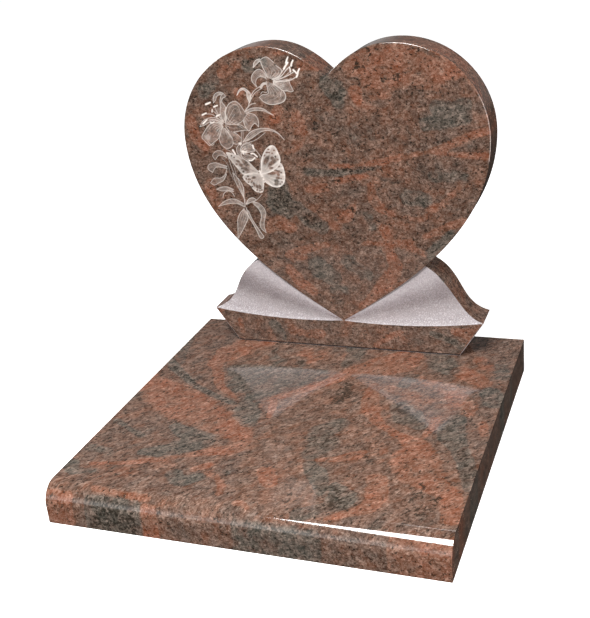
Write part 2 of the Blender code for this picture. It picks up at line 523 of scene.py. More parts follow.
@dataclass(frozen=True)
class GraniteFinish:
    """Polished granite, cut so that two of its axes lie in the stone's main face."""

    name: str
    face_turn: float
    stretch: Place = (1.0, 1.0, 1.0)
    grain_angle: float = 0.0
    crystal_size: float = 4.0 * MM
    warmth: float = 0.52
    gloom: float = 0.15
    contrast: float = 1.0
    albedo: float = 0.80
    joint_top: float = 0.0
    etched: bool = False
    bands: float = 0.25
    flow_angle: float = 0.0
    streaks: float = 0.45
    rag: float = 1.15

    VEIN_SWIRL = 0.04
    VEIN_RIPPLE = 0.045
    GRAIN_SWIRL = 0.03
    GRAIN_RIPPLE = 0.004
    BROAD = Clouds(11.0, 4.0, 0.6)
    STREAKS = Clouds(26.0, 3.0, 0.6)
    STREAK_DRAW = (4.0, 1.0, 2.0)
    RAGGED = Clouds(70.0, 4.0, 0.65)
    RIM = Ease(0.25, 0.75)
    ORANGE_WARMTH = 0.27
    GREY_WARMTH = -0.30
    DARK_GLOOM = 0.9
    POLISH = Ease(0.0, 1.0, 0.055, 0.12)
    SMUDGES = Clouds(9.0, 3.0)
    SMUDGE_DULLNESS = Ease(0.45, 0.75, 0.0, 0.03)
    PITS = Clouds(300.0, 2.0)
    PIT_DEPTH = 0.00002
    # A near-black band at the stone's foot, up to just above the joint with the slab, that loses its gleam.
    FOOT_DARK = tint(14, 11, 9)
    FOOT_DARK_COVER = 0.97
    FOOT_DARK_FADE = 0.8 * MM
    FOOT_DARK_GLEAM = Ease(0.0, 0.9, 0.5, 0.0)
    FROSTING = tint(240, 230, 222)
    FROSTING_EDGE = 0.6
    FROSTING_ROUGHNESS = 0.62
    FROSTING_DEPTH = 0.00010

    def material(self) -> bpy.types.Material:
        """Builds the finish.

        Returns:
            The new material.
        """
        made, wiring = new_material(self.name)
        place = wiring.add("ShaderNodeTexCoord").outputs["Object"]
        upright = wiring.turned(place, self.face_turn, "X")
        feeds: Feeds = {"Vector": upright, "Swirl": self.VEIN_SWIRL, "Ripple": self.VEIN_RIPPLE}
        bent = StoneFlow.place(wiring, feeds)["Vector"]
        grain = self._grain(wiring, upright)
        warmth, gloom = self._veins(wiring, bent, grain)
        feeds = {"Vector": grain, "Warmth": warmth, "Gloom": gloom}
        feeds |= {"Crystal Size": self.crystal_size, "Contrast": self.contrast}
        stone = GraniteCrystals.place(wiring, feeds)
        grey = (self.albedo, self.albedo, self.albedo, 1.0)
        colour = wiring.tinted(1.0, stone["Color"], grey, "MULTIPLY")
        smudge = wiring.clouds(place, *self.SMUDGES).outputs["Fac"]
        dull = wiring.ease(smudge, *self.SMUDGE_DULLNESS)
        rough = wiring.number("ADD", wiring.ease(stone["Mica"], *self.POLISH), dull)
        pits = wiring.clouds(place, *self.PITS).outputs["Fac"]
        height: Source = wiring.number("MULTIPLY", pits, self.PIT_DEPTH)
        gleam: Source = 0.5
        # The stone's lowest few millimetres, by the joint with the slab, are made darker and lose their
        # gleam.
        if self.joint_top:
            rise, foot = wiring.parts(place)["Z"], self.joint_top
            foot_dark = wiring.ease(rise, foot, foot + self.FOOT_DARK_FADE, self.FOOT_DARK_COVER, 0.0)
            colour = wiring.tinted(foot_dark, colour, self.FOOT_DARK)
            gleam = wiring.ease(foot_dark, *self.FOOT_DARK_GLEAM)
        if self.etched:
            colour, rough, height = self._etch(wiring, colour, rough, height)
        wiring.surface(colour, rough, height, gleam=gleam)
        return made

    def _veins(self, wiring: Wiring, bent: Source, grain: Source) -> tuple[Socket, Socket]:
        """Lays the veins and lenses, with ragged rims, over the stone's own clouds and streaks.

        Args:
            wiring: the material's tree.
            bent: the bent place.
            grain: the place, turned and stretched along the grain.

        Returns:
            The stone's warmth and its share of dark mica.
        """
        broad = wiring.clouds(bent, *self.BROAD).outputs["Fac"]
        warmth = wiring.sway(broad, self.bands * 2.0, self.warmth)
        flow = wiring.turned(bent, math.radians(-self.flow_angle), "Z")
        drawn = wiring.arrow("DIVIDE", flow, self.STREAK_DRAW)
        streaks = wiring.clouds(drawn, *self.STREAKS).outputs["Fac"]
        warmth = wiring.sway(streaks, self.streaks, warmth)
        ragged = wiring.clouds(grain, *self.RAGGED).outputs["Color"]
        chances = wiring.add("ShaderNodeSeparateColor", {0: ragged}).outputs
        masks = {}
        for number, mineral in enumerate(Mineral):
            mask = wiring.add("ShaderNodeAttribute", attribute_name=mineral.value).outputs["Fac"]
            masks[mineral] = wiring.ease(wiring.sway(chances[number], self.rag, mask), *self.RIM)
        warmth = wiring.number("MULTIPLY_ADD", masks[Mineral.ORANGE], self.ORANGE_WARMTH, warmth)
        warmth = wiring.number("MULTIPLY_ADD", masks[Mineral.GREY], self.GREY_WARMTH, warmth)
        return warmth, wiring.number("MULTIPLY_ADD", masks[Mineral.DARK], self.DARK_GLOOM, self.gloom)

    def _grain(self, wiring: Wiring, upright: Source) -> Socket:
        """Turns and stretches the place, so that the crystals lie along the stone's grain.

        Args:
            wiring: the material's tree.
            upright: the place, turned into the stone's main face.

        Returns:
            The place at which the crystals are read.
        """
        turned = wiring.turned(upright, math.radians(self.grain_angle), "Z")
        feeds: Feeds = {"Vector": turned, "Swirl": self.GRAIN_SWIRL, "Ripple": self.GRAIN_RIPPLE}
        return wiring.arrow("DIVIDE", StoneFlow.place(wiring, feeds)["Vector"], self.stretch)

    def _etch(
        self, wiring: Wiring, colour: Source, rough: Source, height: Source
    ) -> tuple[Source, Source, Source]:
        """Lays the etched spray's frosting over the polish.

        Args:
            wiring: the material's tree.
            colour: the polished stone's colour.
            rough: its roughness.
            height: its height.

        Returns:
            The three with the frosting on them.
        """
        frost = wiring.add("ShaderNodeAttribute", attribute_name=FROST).outputs["Fac"]
        frosted = wiring.tinted(frost, colour, self.FROSTING)
        matt = wiring.ease(frost, 0.0, self.FROSTING_EDGE, rough, self.FROSTING_ROUGHNESS)
        return frosted, matt, wiring.number("MULTIPLY_ADD", frost, -self.FROSTING_DEPTH, height)


@dataclass(frozen=True)
class FrostedFinish:
    """Sandblasted granite: pale and matt, with painted bands of light and shade fanning from the tip, and
    painted glints.
    """

    name: str
    pale: Tint = tint(222, 214, 217, 0.83)
    deep: Tint = tint(138, 128, 131, 0.83)
    painted_glint: Tint = tint(250, 248, 252, 0.95)
    fan_foot: float = 151.5 * MM
    crystal_size: float = 4.0 * MM

    FAN_HUB = 2.0 * MM
    # Painted light and shade: lit low in the hollow, shaded across its middle, lit again near the heart's
    # edge.
    PAINTED_LIT_LOW_SHADED_MID = Ease(0.17, 0.33, 0.52, 0.14)
    PAINTED_LIT_UPPER_BAND = Ease(0.40, 0.57, 0.0, 0.36)
    # Painted shade by the surface's lean: the more a face looks upward, the darker it is painted.
    PAINTED_SHADE_BY_LEAN = Ease(0.06, 0.34, 0.0, 0.2)
    GRIT = Clouds(360.0, 3.0, 0.75)
    GRIT_TONE = Ease(0.3, 0.7, -0.2, 0.2)
    GRIT_HEIGHT = 0.0003
    GRIT_RELIEF = 0.6
    GRIT_ROUGHNESS = Ease(0.2, 0.8, 0.62, 0.40)
    PATCHES = Clouds(60.0, 3.0, 0.6)
    PATCH_TONE = Ease(0.3, 0.7, -0.05, 0.05)
    # Painted glints: near-white specks, strongest in the low band that is painted as lit.
    PAINTED_GLINT_CLOUDS = Clouds(420.0, 1.0)
    PAINTED_GLINT_LEVEL = Ease(0.54, 0.68)
    PAINTED_GLINT_FADE = Ease(0.2, 0.35, 0.5, 0.2)
    STONE_SHARE = 0.10

    def material(self) -> bpy.types.Material:
        """Builds the finish.

        Returns:
            The new material.
        """
        made, wiring = new_material(self.name)
        place = wiring.add("ShaderNodeTexCoord").outputs["Object"]
        feeds: Feeds = {"Vector": place, "Warmth": 0.5, "Gloom": 0.0}
        feeds |= {"Crystal Size": self.crystal_size, "Contrast": 1.0}
        stone = GraniteCrystals.place(wiring, feeds)
        grit = wiring.clouds(place, *self.GRIT).outputs["Fac"]
        patches = wiring.clouds(place, *self.PATCHES).outputs["Fac"]
        axes = wiring.parts(place)
        aside = wiring.number("ADD", wiring.number("ABSOLUTE", axes["X"]), self.FAN_HUB)
        fan = wiring.number("DIVIDE", wiring.number("SUBTRACT", axes["Z"], self.fan_foot), aside)
        lean = wiring.parts(wiring.add("ShaderNodeNewGeometry").outputs["Normal"])["Z"]
        # Painted light and shade by angle round the heart's tip: a lit low band, a shaded middle band, a lit
        # upper band.
        bands = wiring.number("ADD", wiring.ease(fan, *self.PAINTED_LIT_LOW_SHADED_MID), wiring.ease(fan, *self.PAINTED_LIT_UPPER_BAND))
        # Painted shade: darker the more the surface faces upward.
        share = wiring.number("SUBTRACT", bands, wiring.ease(lean, *self.PAINTED_SHADE_BY_LEAN))
        share = wiring.number("ADD", share, wiring.ease(grit, *self.GRIT_TONE))
        share = wiring.number("ADD", share, wiring.ease(patches, *self.PATCH_TONE), clamp=True)
        frost = wiring.tinted(share, self.deep, self.pale)
        # Painted glints: bright specks, stronger in the lower band painted as lit and fainter in the shaded
        # one.
        glint_clouds = wiring.clouds(place, *self.PAINTED_GLINT_CLOUDS).outputs["Fac"]
        painted_lit_share = wiring.ease(fan, *self.PAINTED_GLINT_FADE)
        painted_glint_share = wiring.number("MULTIPLY", wiring.ease(glint_clouds, *self.PAINTED_GLINT_LEVEL), painted_lit_share)
        frost = wiring.tinted(painted_glint_share, frost, self.painted_glint)
        colour = wiring.tinted(self.STONE_SHARE, frost, stone["Color"])
        height = wiring.number("MULTIPLY", grit, self.GRIT_HEIGHT)
        wiring.surface(colour, wiring.ease(grit, *self.GRIT_ROUGHNESS), height, self.GRIT_RELIEF)
        return made


def smooth(value: np.ndarray, start: float, end: float) -> np.ndarray:
    """Takes values smoothly from 0 at the start to 1 at the end.

    Args:
        value: the values.
        start: where the rise starts.
        end: where it ends.

    Returns:
        The eased values.
    """
    share = np.clip((value - start) / (end - start), 0.0, 1.0)
    return share * share * (3.0 - 2.0 * share)


def crossings(points: np.ndarray, starts: np.ndarray, ends: np.ndarray) -> np.ndarray:
    """Tells which points of the face lie inside closed lines.

    Args:
        points: the points, one row each.
        starts: where each straight piece of the lines starts.
        ends: where it ends.

    Returns:
        True for each point with an odd number of lines on its right.
    """
    inside = np.zeros(len(points), bool)
    for first, second in zip(starts, ends):
        if first[1] == second[1]:
            continue
        spans = (first[1] > points[:, 1]) != (second[1] > points[:, 1])
        where = first[0] + (points[:, 1] - first[1]) * (second[0] - first[0]) / (second[1] - first[1])
        inside ^= spans & (points[:, 0] < where)
    return inside


class Etching:
    """The tone of the etched drawing, held as one number for each point of a fine grid on the face."""

    SOFTNESS = 0.5
    MARGIN = 3.0
    WAVES = ((0.31, 0.17), (0.21, 0.43))

    def __init__(self, low: Point, high: Point, pitch: float) -> None:
        """Lays out the grid, in millimetres.

        Args:
            low: the grid's lower left corner on the face.
            high: its upper right corner.
            pitch: the spacing of its points.
        """
        self.pitch = pitch
        across = np.arange(low[0], high[0] + pitch / 2, pitch)
        upward = np.arange(low[1], high[1] + pitch / 2, pitch)
        self.x, self.z = np.meshgrid(across, upward)
        self.tone = np.zeros_like(self.x)
        (rise_x, rise_z), (fall_x, fall_z) = self.WAVES
        rising = np.sin(self.x * rise_x + rise_z * self.z)
        falling = np.sin(self.z * fall_z - fall_x * self.x)
        self.waver = 0.5 + 0.25 * rising + 0.25 * falling

    def near(self, points: np.ndarray, reach: float) -> Span:
        """Finds the part of the grid about a few points.

        Args:
            points: the points.
            reach: how far round them it goes.

        Returns:
            The rows and columns of that part.
        """
        low = (points.min(0) - reach - (self.x[0, 0], self.z[0, 0])) / self.pitch
        high = (points.max(0) + reach - (self.x[0, 0], self.z[0, 0])) / self.pitch
        rows = slice(max(0, int(low[1])), max(0, int(high[1]) + 2))
        columns = slice(max(0, int(low[0])), max(0, int(high[0]) + 2))
        return rows, columns

    def cover(self, part: Span, ring: np.ndarray, edge: np.ndarray) -> np.ndarray:
        """Finds how far a closed shape covers each point, softly at its edge.

        Args:
            part: the rows and columns that it is for.
            ring: the shape's outline.
            edge: how far each point lies from it.

        Returns:
            The cover, from 0 to 1.
        """
        x, z = self.x[part], self.z[part]
        places = np.stack([x.ravel(), z.ravel()], 1)
        odd = crossings(places, ring, np.roll(ring, -1, 0)).reshape(x.shape)
        return smooth(np.where(odd, edge, -edge), -self.SOFTNESS, self.SOFTNESS)

    def lay(self, part: Span, cover: np.ndarray, tone: np.ndarray) -> None:
        """Lays a tone over what is drawn already.

        Args:
            part: the rows and columns that it is for.
            cover: how far it hides what lies under it.
            tone: the tone itself.
        """
        under = self.tone[part]
        self.tone[part] = under * (1.0 - cover) + np.clip(tone, 0.0, 1.0) * cover

    def brighten(self, part: Span, tone: np.ndarray) -> None:
        """Raises what is drawn already to a tone."""
        self.tone[part] = np.maximum(self.tone[part], np.clip(tone, 0.0, 1.0))


class Curve:
    """A smooth line on the face through a few points, in millimetres."""

    STEPS = 7

    def __init__(self, *points: Point) -> None:
        """Traces the line.

        Args:
            *points: the points, from its root to its tip.
        """
        given = np.array(points, float)
        padded = np.vstack([2 * given[0] - given[1], given, 2 * given[-1] - given[-2]])
        share = np.linspace(0.0, 1.0, self.STEPS, endpoint=False)[:, None]
        pieces = []
        for before, start, end, after in zip(padded, padded[1:], padded[2:], padded[3:]):
            bend = 2 * before - 5 * start + 4 * end - after
            twist = 3 * start - before - 3 * end + after
            pieces.append(start + 0.5 * share * ((end - before) + share * (bend + share * twist)))
        self.trace = np.vstack([*pieces, given[-1:]])

    def measure(self, x: np.ndarray, z: np.ndarray) -> tuple[np.ndarray, np.ndarray]:
        """Measures places against the line.

        Args:
            x: the places' distance across the face.
            z: their height.

        Returns:
            How far along the line each place is, from 0 to 1, and its distance to the line.
        """
        nearest = np.full(x.shape, np.inf)
        along = np.zeros(x.shape)
        count = len(self.trace) - 1
        for number in range(count):
            start, step = self.trace[number], self.trace[number + 1] - self.trace[number]
            dx, dz = x - start[0], z - start[1]
            share = np.clip((dx * step[0] + dz * step[1]) / max(step @ step, 1e-9), 0.0, 1.0)
            distance = np.hypot(dx - share * step[0], dz - share * step[1])
            closer = distance < nearest
            nearest = np.where(closer, distance, nearest)
            along = np.where(closer, (number + share) / count, along)
        return along, nearest


class Vein:
    """A vein, a lens or a knot of one mineral, drawn on the stone's main face in millimetres."""

    SOFTNESS = 6.0
    WIDE_SOFTNESS = 0.4

    def __init__(self, strength: float, *path: Place) -> None:
        """Keeps the vein's form.

        Args:
            strength: how much of the stone it takes up, 0 to 1.
            *path: points along its middle, each with half its width there.
        """
        self.strength = strength
        self.halves = np.array([half for _, _, half in path], float)
        self.curve = Curve(*((across, up) for across, up, _ in path))

    def lay(self, places: np.ndarray, mask: np.ndarray) -> None:
        """Raises the mask where the vein lies.

        Args:
            places: where the mask is held, one row each.
            mask: its values, which are changed.
        """
        reach = self.halves.max() + 2 * self.SOFTNESS
        low, high = self.curve.trace.min(0) - reach, self.curve.trace.max(0) + reach
        near = np.flatnonzero(((places > low) & (places < high)).all(1))
        along, distance = self.curve.measure(places[near, 0], places[near, 1])
        half = np.interp(along, np.linspace(0.0, 1.0, len(self.halves)), self.halves)
        soft = np.maximum(self.SOFTNESS, self.WIDE_SOFTNESS * half)
        mask[near] = np.maximum(mask[near], self.strength * smooth((half - distance) / soft, -1.0, 1.0))


def lay_veins(mesh: bpy.types.Mesh, veins: dict[Mineral, Sequence[Vein]], upward: int) -> None:
    """Gives a piece one mask for each mineral, the same all through its depth.

    Args:
        mesh: the piece's mesh.
        veins: each mineral's veins, lenses and knots.
        upward: the axis that runs up its main face.
    """
    places = np.empty(len(mesh.vertices) * 3)
    mesh.vertices.foreach_get("co", places)
    places = places.reshape(-1, 3)[:, (0, upward)] / MM
    for mineral in Mineral:
        mask = np.zeros(len(places))
        for vein in veins[mineral]:
            vein.lay(places, mask)
        mesh.attributes.new(mineral.value, "FLOAT", "POINT").data.foreach_set("value", mask)


@dataclass(frozen=True)
class Stroke:
    """A drawn line that swells or tapers: a stem, a stamen or a fold."""

    curve: Curve
    start_width: float
    end_width: float
    tone: float

    STEADY = 0.86
    WAVER = 0.14

    def etch(self, etching: Etching) -> None:
        """Draws the line.

        Args:
            etching: the drawing.
        """
        part = etching.near(self.curve.trace, etching.MARGIN + max(self.start_width, self.end_width) / 2)
        along, distance = self.curve.measure(etching.x[part], etching.z[part])
        half = (self.start_width + (self.end_width - self.start_width) * along) / 2
        line = smooth(half - distance, -etching.SOFTNESS, etching.SOFTNESS)
        etching.brighten(part, self.tone * line * (self.STEADY + self.WAVER * etching.waver[part]))


@dataclass(frozen=True)
class Petal:
    """A petal or a leaf between two edges that meet at its tip: a thin body, bright rims and fine ribs."""

    left: tuple[Point, ...]
    right: tuple[Point, ...]
    tip: Point
    body: float
    rims: Point
    ribs: int
    rib_tone: float = 0.36
    shade: float = 0.25

    ROOT_TONE = 0.52
    TONE_FALL = 0.2
    RIM_GLOW = 0.10
    RIM_REACH = 2.5
    RIM_WIDTH = 1.3
    RIM_TAPER = 0.8
    RIM_TONE = 0.3
    RIM_GAIN = 0.75
    RIB_HALF = 0.9
    RIB_FADE = 0.85
    RIB_GAIN = 1.35

    def etch(self, etching: Etching) -> None:
        """Draws the petal over what lies behind it.

        Args:
            etching: the drawing.
        """
        left, right = Curve(*self.left, self.tip), Curve(*self.right, self.tip)
        ring = np.vstack([left.trace, right.trace[::-1]])
        part = etching.near(ring, etching.MARGIN)
        along, to_left = left.measure(etching.x[part], etching.z[part])
        _, to_right = right.measure(etching.x[part], etching.z[part])
        edge = np.minimum(to_left, to_right)
        width = np.maximum(to_left + to_right, 1.0)
        share = to_left / width
        side = 1.0 + self.shade * (2.0 * share - 1.0)
        tone = (self.ROOT_TONE - self.TONE_FALL * along) * self.body * side * (0.5 + etching.waver[part])
        tone += self.RIM_GLOW * np.exp(-edge / self.RIM_REACH)
        for number in range(self.ribs + 1):
            place = (number + 1) / (self.ribs + 2)
            rib = smooth(self.RIB_HALF - np.abs(share - place) * width, 0.0, self.RIB_HALF)
            rib *= 1.0 - self.RIB_FADE * along
            tone = np.maximum(tone, self.RIB_GAIN * self.rib_tone * rib)
        etching.lay(part, etching.cover(part, ring, edge), tone)
        for curve, strength in zip((left, right), self.rims):
            rim_tone = self.RIM_TONE + self.RIM_GAIN * strength
            Stroke(curve, self.RIM_WIDTH, self.RIM_WIDTH * self.RIM_TAPER, rim_tone).etch(etching)


@dataclass(frozen=True)
class Spot:
    """A small oval on the drawing, paler or darker than what lies round it."""

    centre: Point
    half_length: float
    half_width: float
    angle: float
    tone: float
    strength: float = 0.85

    MARGIN = 2.0
    SOFTNESS = 0.45

    def etch(self, etching: Etching) -> None:
        """Draws the oval.

        Args:
            etching: the drawing.
        """
        part = etching.near(np.array([self.centre]), self.half_length + self.MARGIN)
        turn = math.radians(self.angle)
        dx, dz = etching.x[part] - self.centre[0], etching.z[part] - self.centre[1]
        forward = (dx * math.cos(turn) + dz * math.sin(turn)) / self.half_length
        sideways = (dz * math.cos(turn) - dx * math.sin(turn)) / self.half_width
        cover = smooth(1.0 - np.hypot(forward, sideways), -self.SOFTNESS, self.SOFTNESS) * self.strength
        etching.lay(part, cover, np.full(dx.shape, self.tone))


@dataclass(frozen=True)
class Wing:
    """One of the butterfly's wings: a pale field with a bright border, veins and dark cells.

    A cell is an oval: its middle, half its length, half its width and its angle in degrees.
    """

    outline: Curve
    hinge: Point
    tone: float
    cells: tuple[tuple[float, float, float, float, float], ...]

    FIELD_TONE = 0.42
    VEIN_TONE = 0.28
    VEIN_COUNT = 22.0
    VEIN_LINE = (0.2, 0.9)
    VEIN_START = (10.0, 30.0)
    BORDER_TONE = 0.6
    BORDER_REACH = 3.0
    CELL_LENGTH = 1.25
    CELL_WIDTH = 1.5
    CELL_TONE = 0.03
    CELL_STRENGTH = 0.95

    def etch(self, etching: Etching) -> None:
        """Draws the wing.

        Args:
            etching: the drawing.
        """
        ring = self.outline.trace
        part = etching.near(ring, etching.MARGIN)
        x, z = etching.x[part], etching.z[part]
        _, edge = self.outline.measure(x, z)
        bearing = np.arctan2(z - self.hinge[1], x - self.hinge[0])
        away = np.hypot(x - self.hinge[0], z - self.hinge[1])
        vein = smooth(np.cos(bearing * self.VEIN_COUNT), *self.VEIN_LINE) * smooth(away, *self.VEIN_START)
        border = np.exp(-edge / self.BORDER_REACH)
        tone = self.tone * (self.FIELD_TONE + self.VEIN_TONE * vein + self.BORDER_TONE * border)
        etching.lay(part, etching.cover(part, ring, edge), tone)
        for x0, z0, half_length, half_width, angle in self.cells:
            length, width = half_length * self.CELL_LENGTH, half_width * self.CELL_WIDTH
            Spot((x0, z0), length, width, angle, self.CELL_TONE, self.CELL_STRENGTH).etch(etching)


BAR_TAPER = 0.8
THREAD_TAPER = 0.85


def bar(*points: Point, thickness: float = 4.2, tone: float = 1.0) -> Stroke:
    """Draws an anther: the thick bright bar at a stamen's end.

    Args:
        *points: the bar's points.
        thickness: how thick it is.
        tone: how bright.

    Returns:
        The bar.
    """
    return Stroke(Curve(*points), thickness, thickness * BAR_TAPER, tone)


def thread(*points: Point, width: float = 1.4, tone: float = 0.6) -> Stroke:
    """Draws a thin line: a stamen's thread, a fold or a stalk.

    Args:
        *points: the line's points.
        width: how wide it starts.
        tone: how bright it is.

    Returns:
        The line.
    """
    return Stroke(Curve(*points), width, width * THREAD_TAPER, tone)


# What follows lists the spray's parts, in millimetres on the face, what lies behind first.

# The parts of the faint bloom at the far left and the fronds beside it.
SIDE_BLOOM = (
    Petal(
        ((-250, 545), (-262, 556), (-276, 555), (-285, 545)),
        ((-250, 540), (-260, 545), (-270, 545)),
        tip=(-280, 535), body=0.12, rims=(0.32, 0.24), ribs=2, rib_tone=0.26,
    ),
    Petal(
        ((-252, 520), (-266, 524), (-282, 528), (-298, 523), (-300, 512)),
        ((-252, 514), (-265, 517), (-278, 518), (-286, 512)),
        tip=(-290, 505), body=0.18, rims=(0.4, 0.3), ribs=2, rib_tone=0.3,
    ),
    Petal(
        ((-254, 512), (-260, 500), (-272, 492), (-288, 491)),
        ((-256, 500), (-266, 486), (-278, 480), (-290, 475)),
        tip=(-299, 480), body=0.18, rims=(0.38, 0.38), ribs=2, rib_tone=0.3,
    ),
    Petal(
        ((-243, 465), (-258, 471), (-272, 470)),
        ((-243, 460), (-258, 462), (-272, 461)),
        tip=(-286, 465), body=0.28, rims=(0.5, 0.45), ribs=1,
    ),
    thread((-272, 446), (-268, 455), (-258, 461), (-248, 458), (-242, 448), width=1.8, tone=0.45),
    thread((-248, 552), (-243, 525), (-237, 505), (-229, 485), (-221, 465), (-219, 448), tone=0.4),
    thread((-240, 536), (-234, 515), (-231, 495), (-223, 475), tone=0.34),
    thread((-262, 540), (-250, 524), (-246, 505), (-240, 488), tone=0.28),
    Petal(
        ((-220, 448), (-228, 465), (-236, 485)),
        ((-220, 448), (-222, 468), (-228, 490)),
        tip=(-240, 505), body=0.2, rims=(0.38, 0.38), ribs=1,
    ),
    Petal(
        ((-219, 448), (-217, 462), (-220, 478)),
        ((-219, 448), (-223, 462), (-226, 478)),
        tip=(-228, 492), body=0.24, rims=(0.46, 0.4), ribs=0,
    ),
)

# The leaves and the cut stalk at the spray's foot.
LOW_LEAVES = (
    Petal(
        ((-222, 432), (-240, 441), (-256, 441), (-272, 434)),
        ((-221, 424), (-238, 431), (-254, 431), (-270, 428)),
        tip=(-286, 423), body=0.26, rims=(0.5, 0.4), ribs=1,
    ),
    Petal(
        ((-200, 436), (-186, 434), (-174, 424), (-169, 411), (-172, 398), (-176, 382)),
        ((-196, 430), (-187, 422), (-181, 410), (-181, 398), (-186, 384), (-184, 372)),
        tip=(-173, 362), body=0.28, rims=(0.42, 0.42), ribs=1,
    ),
    Petal(
        ((-216, 430), (-208, 442), (-197, 446)),
        ((-214, 430), (-203, 435), (-195, 437)),
        tip=(-188, 441), body=0.42, rims=(0.6, 0.5), ribs=0,
    ),
    thread((-188, 441), (-181, 447), (-173, 455), tone=0.42),
    Petal(
        ((-221, 420), (-233, 408), (-241, 392), (-243, 372)),
        ((-218, 414), (-214, 398), (-222, 382), (-233, 364)),
        tip=(-246, 345), body=0.26, rims=(0.5, 0.5), ribs=2, rib_tone=0.42,
    ),
    Petal(
        ((-216, 422), (-213, 402), (-204, 384), (-195, 364), (-190, 350)),
        ((-211, 414), (-206, 398), (-198, 382), (-187, 364), (-180, 352)),
        tip=(-185, 347), body=0.24, rims=(0.62, 0.55), ribs=0,
    ),
    thread((-219, 424), (-218, 440), (-220, 455), (-217, 470), width=2.6, tone=0.46),
    Spot((-219, 420), 2.5, 2, 0, 0.04),
)

# The stems and the curled bud between the two great blooms.
STEMS = (
    thread((-207, 604), (-208, 590), (-210, 574), tone=0.5),
    thread((-203, 604), (-204, 589), (-206, 576), tone=0.42),
    thread((-179, 671), (-172, 684), (-164, 693), (-151, 701), tone=0.6),
    thread((-175, 673), (-168, 683), (-160, 690), (-146, 697), tone=0.5),
    thread((-190, 650), (-183, 658), (-180, 668), width=2.4, tone=0.5),
    thread((-192, 647), (-184, 656), (-176, 662), (-165, 664), width=1.8, tone=0.5),
    Petal(
        ((-180, 666), (-184, 678), (-184, 688), (-191, 694), (-200, 691)),
        ((-179, 666), (-175, 676), (-177, 688), (-190, 698), (-201, 694)),
        tip=(-208, 682), body=0.72, rims=(0.7, 0.75), ribs=0,
    ),
    thread((-149, 699), (-143, 706), (-134, 707), width=6.0, tone=0.55),
)

# The petals of the great lily at the left.
GREAT_LILY = (
    Petal(
        ((-249, 624), (-253, 642), (-251, 658), (-250, 672), (-246, 682)),
        ((-243, 626), (-240, 645), (-239, 657), (-246, 668), (-243, 676), (-236, 680)),
        tip=(-240, 687), body=0.3, rims=(0.5, 0.5), ribs=1,
    ),
    Petal(
        ((-240, 687), (-250, 690), (-260, 686), (-266, 677)),
        ((-242, 684), (-250, 684), (-257, 680), (-261, 672)),
        tip=(-267, 666), body=0.28, rims=(0.52, 0.4), ribs=0,
    ),
    Petal(
        ((-197, 646), (-183, 642), (-170, 638), (-163, 625)),
        ((-200, 628), (-196, 612), (-188, 602), (-181, 612), (-172, 619)),
        tip=(-164, 611), body=0.26, rims=(0.5, 0.5), ribs=3, rib_tone=0.36,
    ),
    Petal(
        ((-244, 620), (-241, 640), (-233, 660), (-216, 669), (-204, 662), (-195, 648)),
        ((-240, 612), (-222, 615), (-205, 622), (-195, 632)),
        tip=(-188, 640), body=0.21, rims=(0.52, 0.3), ribs=4, rib_tone=0.36,
    ),
    Spot((-212, 631), 11, 7, 10, 0.06, 0.7),
    Petal(
        ((-244, 618), (-230, 617), (-212, 617), (-200, 612)),
        ((-244, 612), (-236, 602), (-222, 600), (-206, 603)),
        tip=(-190, 604), body=0.05, rims=(0.4, 0.6), ribs=0,
    ),
    thread((-241, 641), (-236, 630), (-228, 622), (-215, 616), (-203, 609), tone=0.45),
    thread((-231, 655), (-222, 661), (-211, 661), (-206, 652), (-203, 640), tone=0.38),
    thread((-237, 655), (-241, 645), (-240, 632), (-243, 622), width=3.4, tone=0.6),
    Petal(
        ((-250, 624), (-265, 632), (-282, 632), (-298, 625)),
        ((-250, 620), (-266, 626), (-280, 624), (-295, 616)),
        tip=(-308, 612), body=0.16, rims=(0.5, 0.5), ribs=0,
    ),
    Petal(
        ((-240, 603), (-236, 592), (-232, 580), (-226, 572)),
        ((-226, 600), (-215, 592), (-208, 582)),
        tip=(-214, 573), body=0.16, rims=(0.4, 0.35), ribs=3,
    ),
    Petal(
        ((-252, 612), (-259, 600), (-263, 585), (-260, 571)),
        ((-246, 608), (-238, 596), (-231, 584), (-231, 571), (-240, 563)),
        tip=(-250, 562), body=0.28, rims=(0.45, 0.5), ribs=2,
    ),
    Spot((-248, 583), 9, 4.5, 80, 0.06),
    Spot((-227, 583), 7, 3, 75, 0.04),
    Petal(
        ((-252, 618), (-268, 622), (-284, 616), (-297, 602), (-306, 588), (-300, 579)),
        ((-250, 613), (-256, 604), (-260, 592), (-266, 584), (-276, 577), (-283, 572)),
        tip=(-290, 568), body=0.25, rims=(0.5, 0.5), ribs=4, rib_tone=0.42,
    ),
    Spot((-277, 601), 9, 7, 30, 0.07),
    Spot((-291, 587), 8, 7, 0, 0.42, 0.6),
    thread((-292, 577), (-284, 569), (-277, 573), tone=0.42),
)

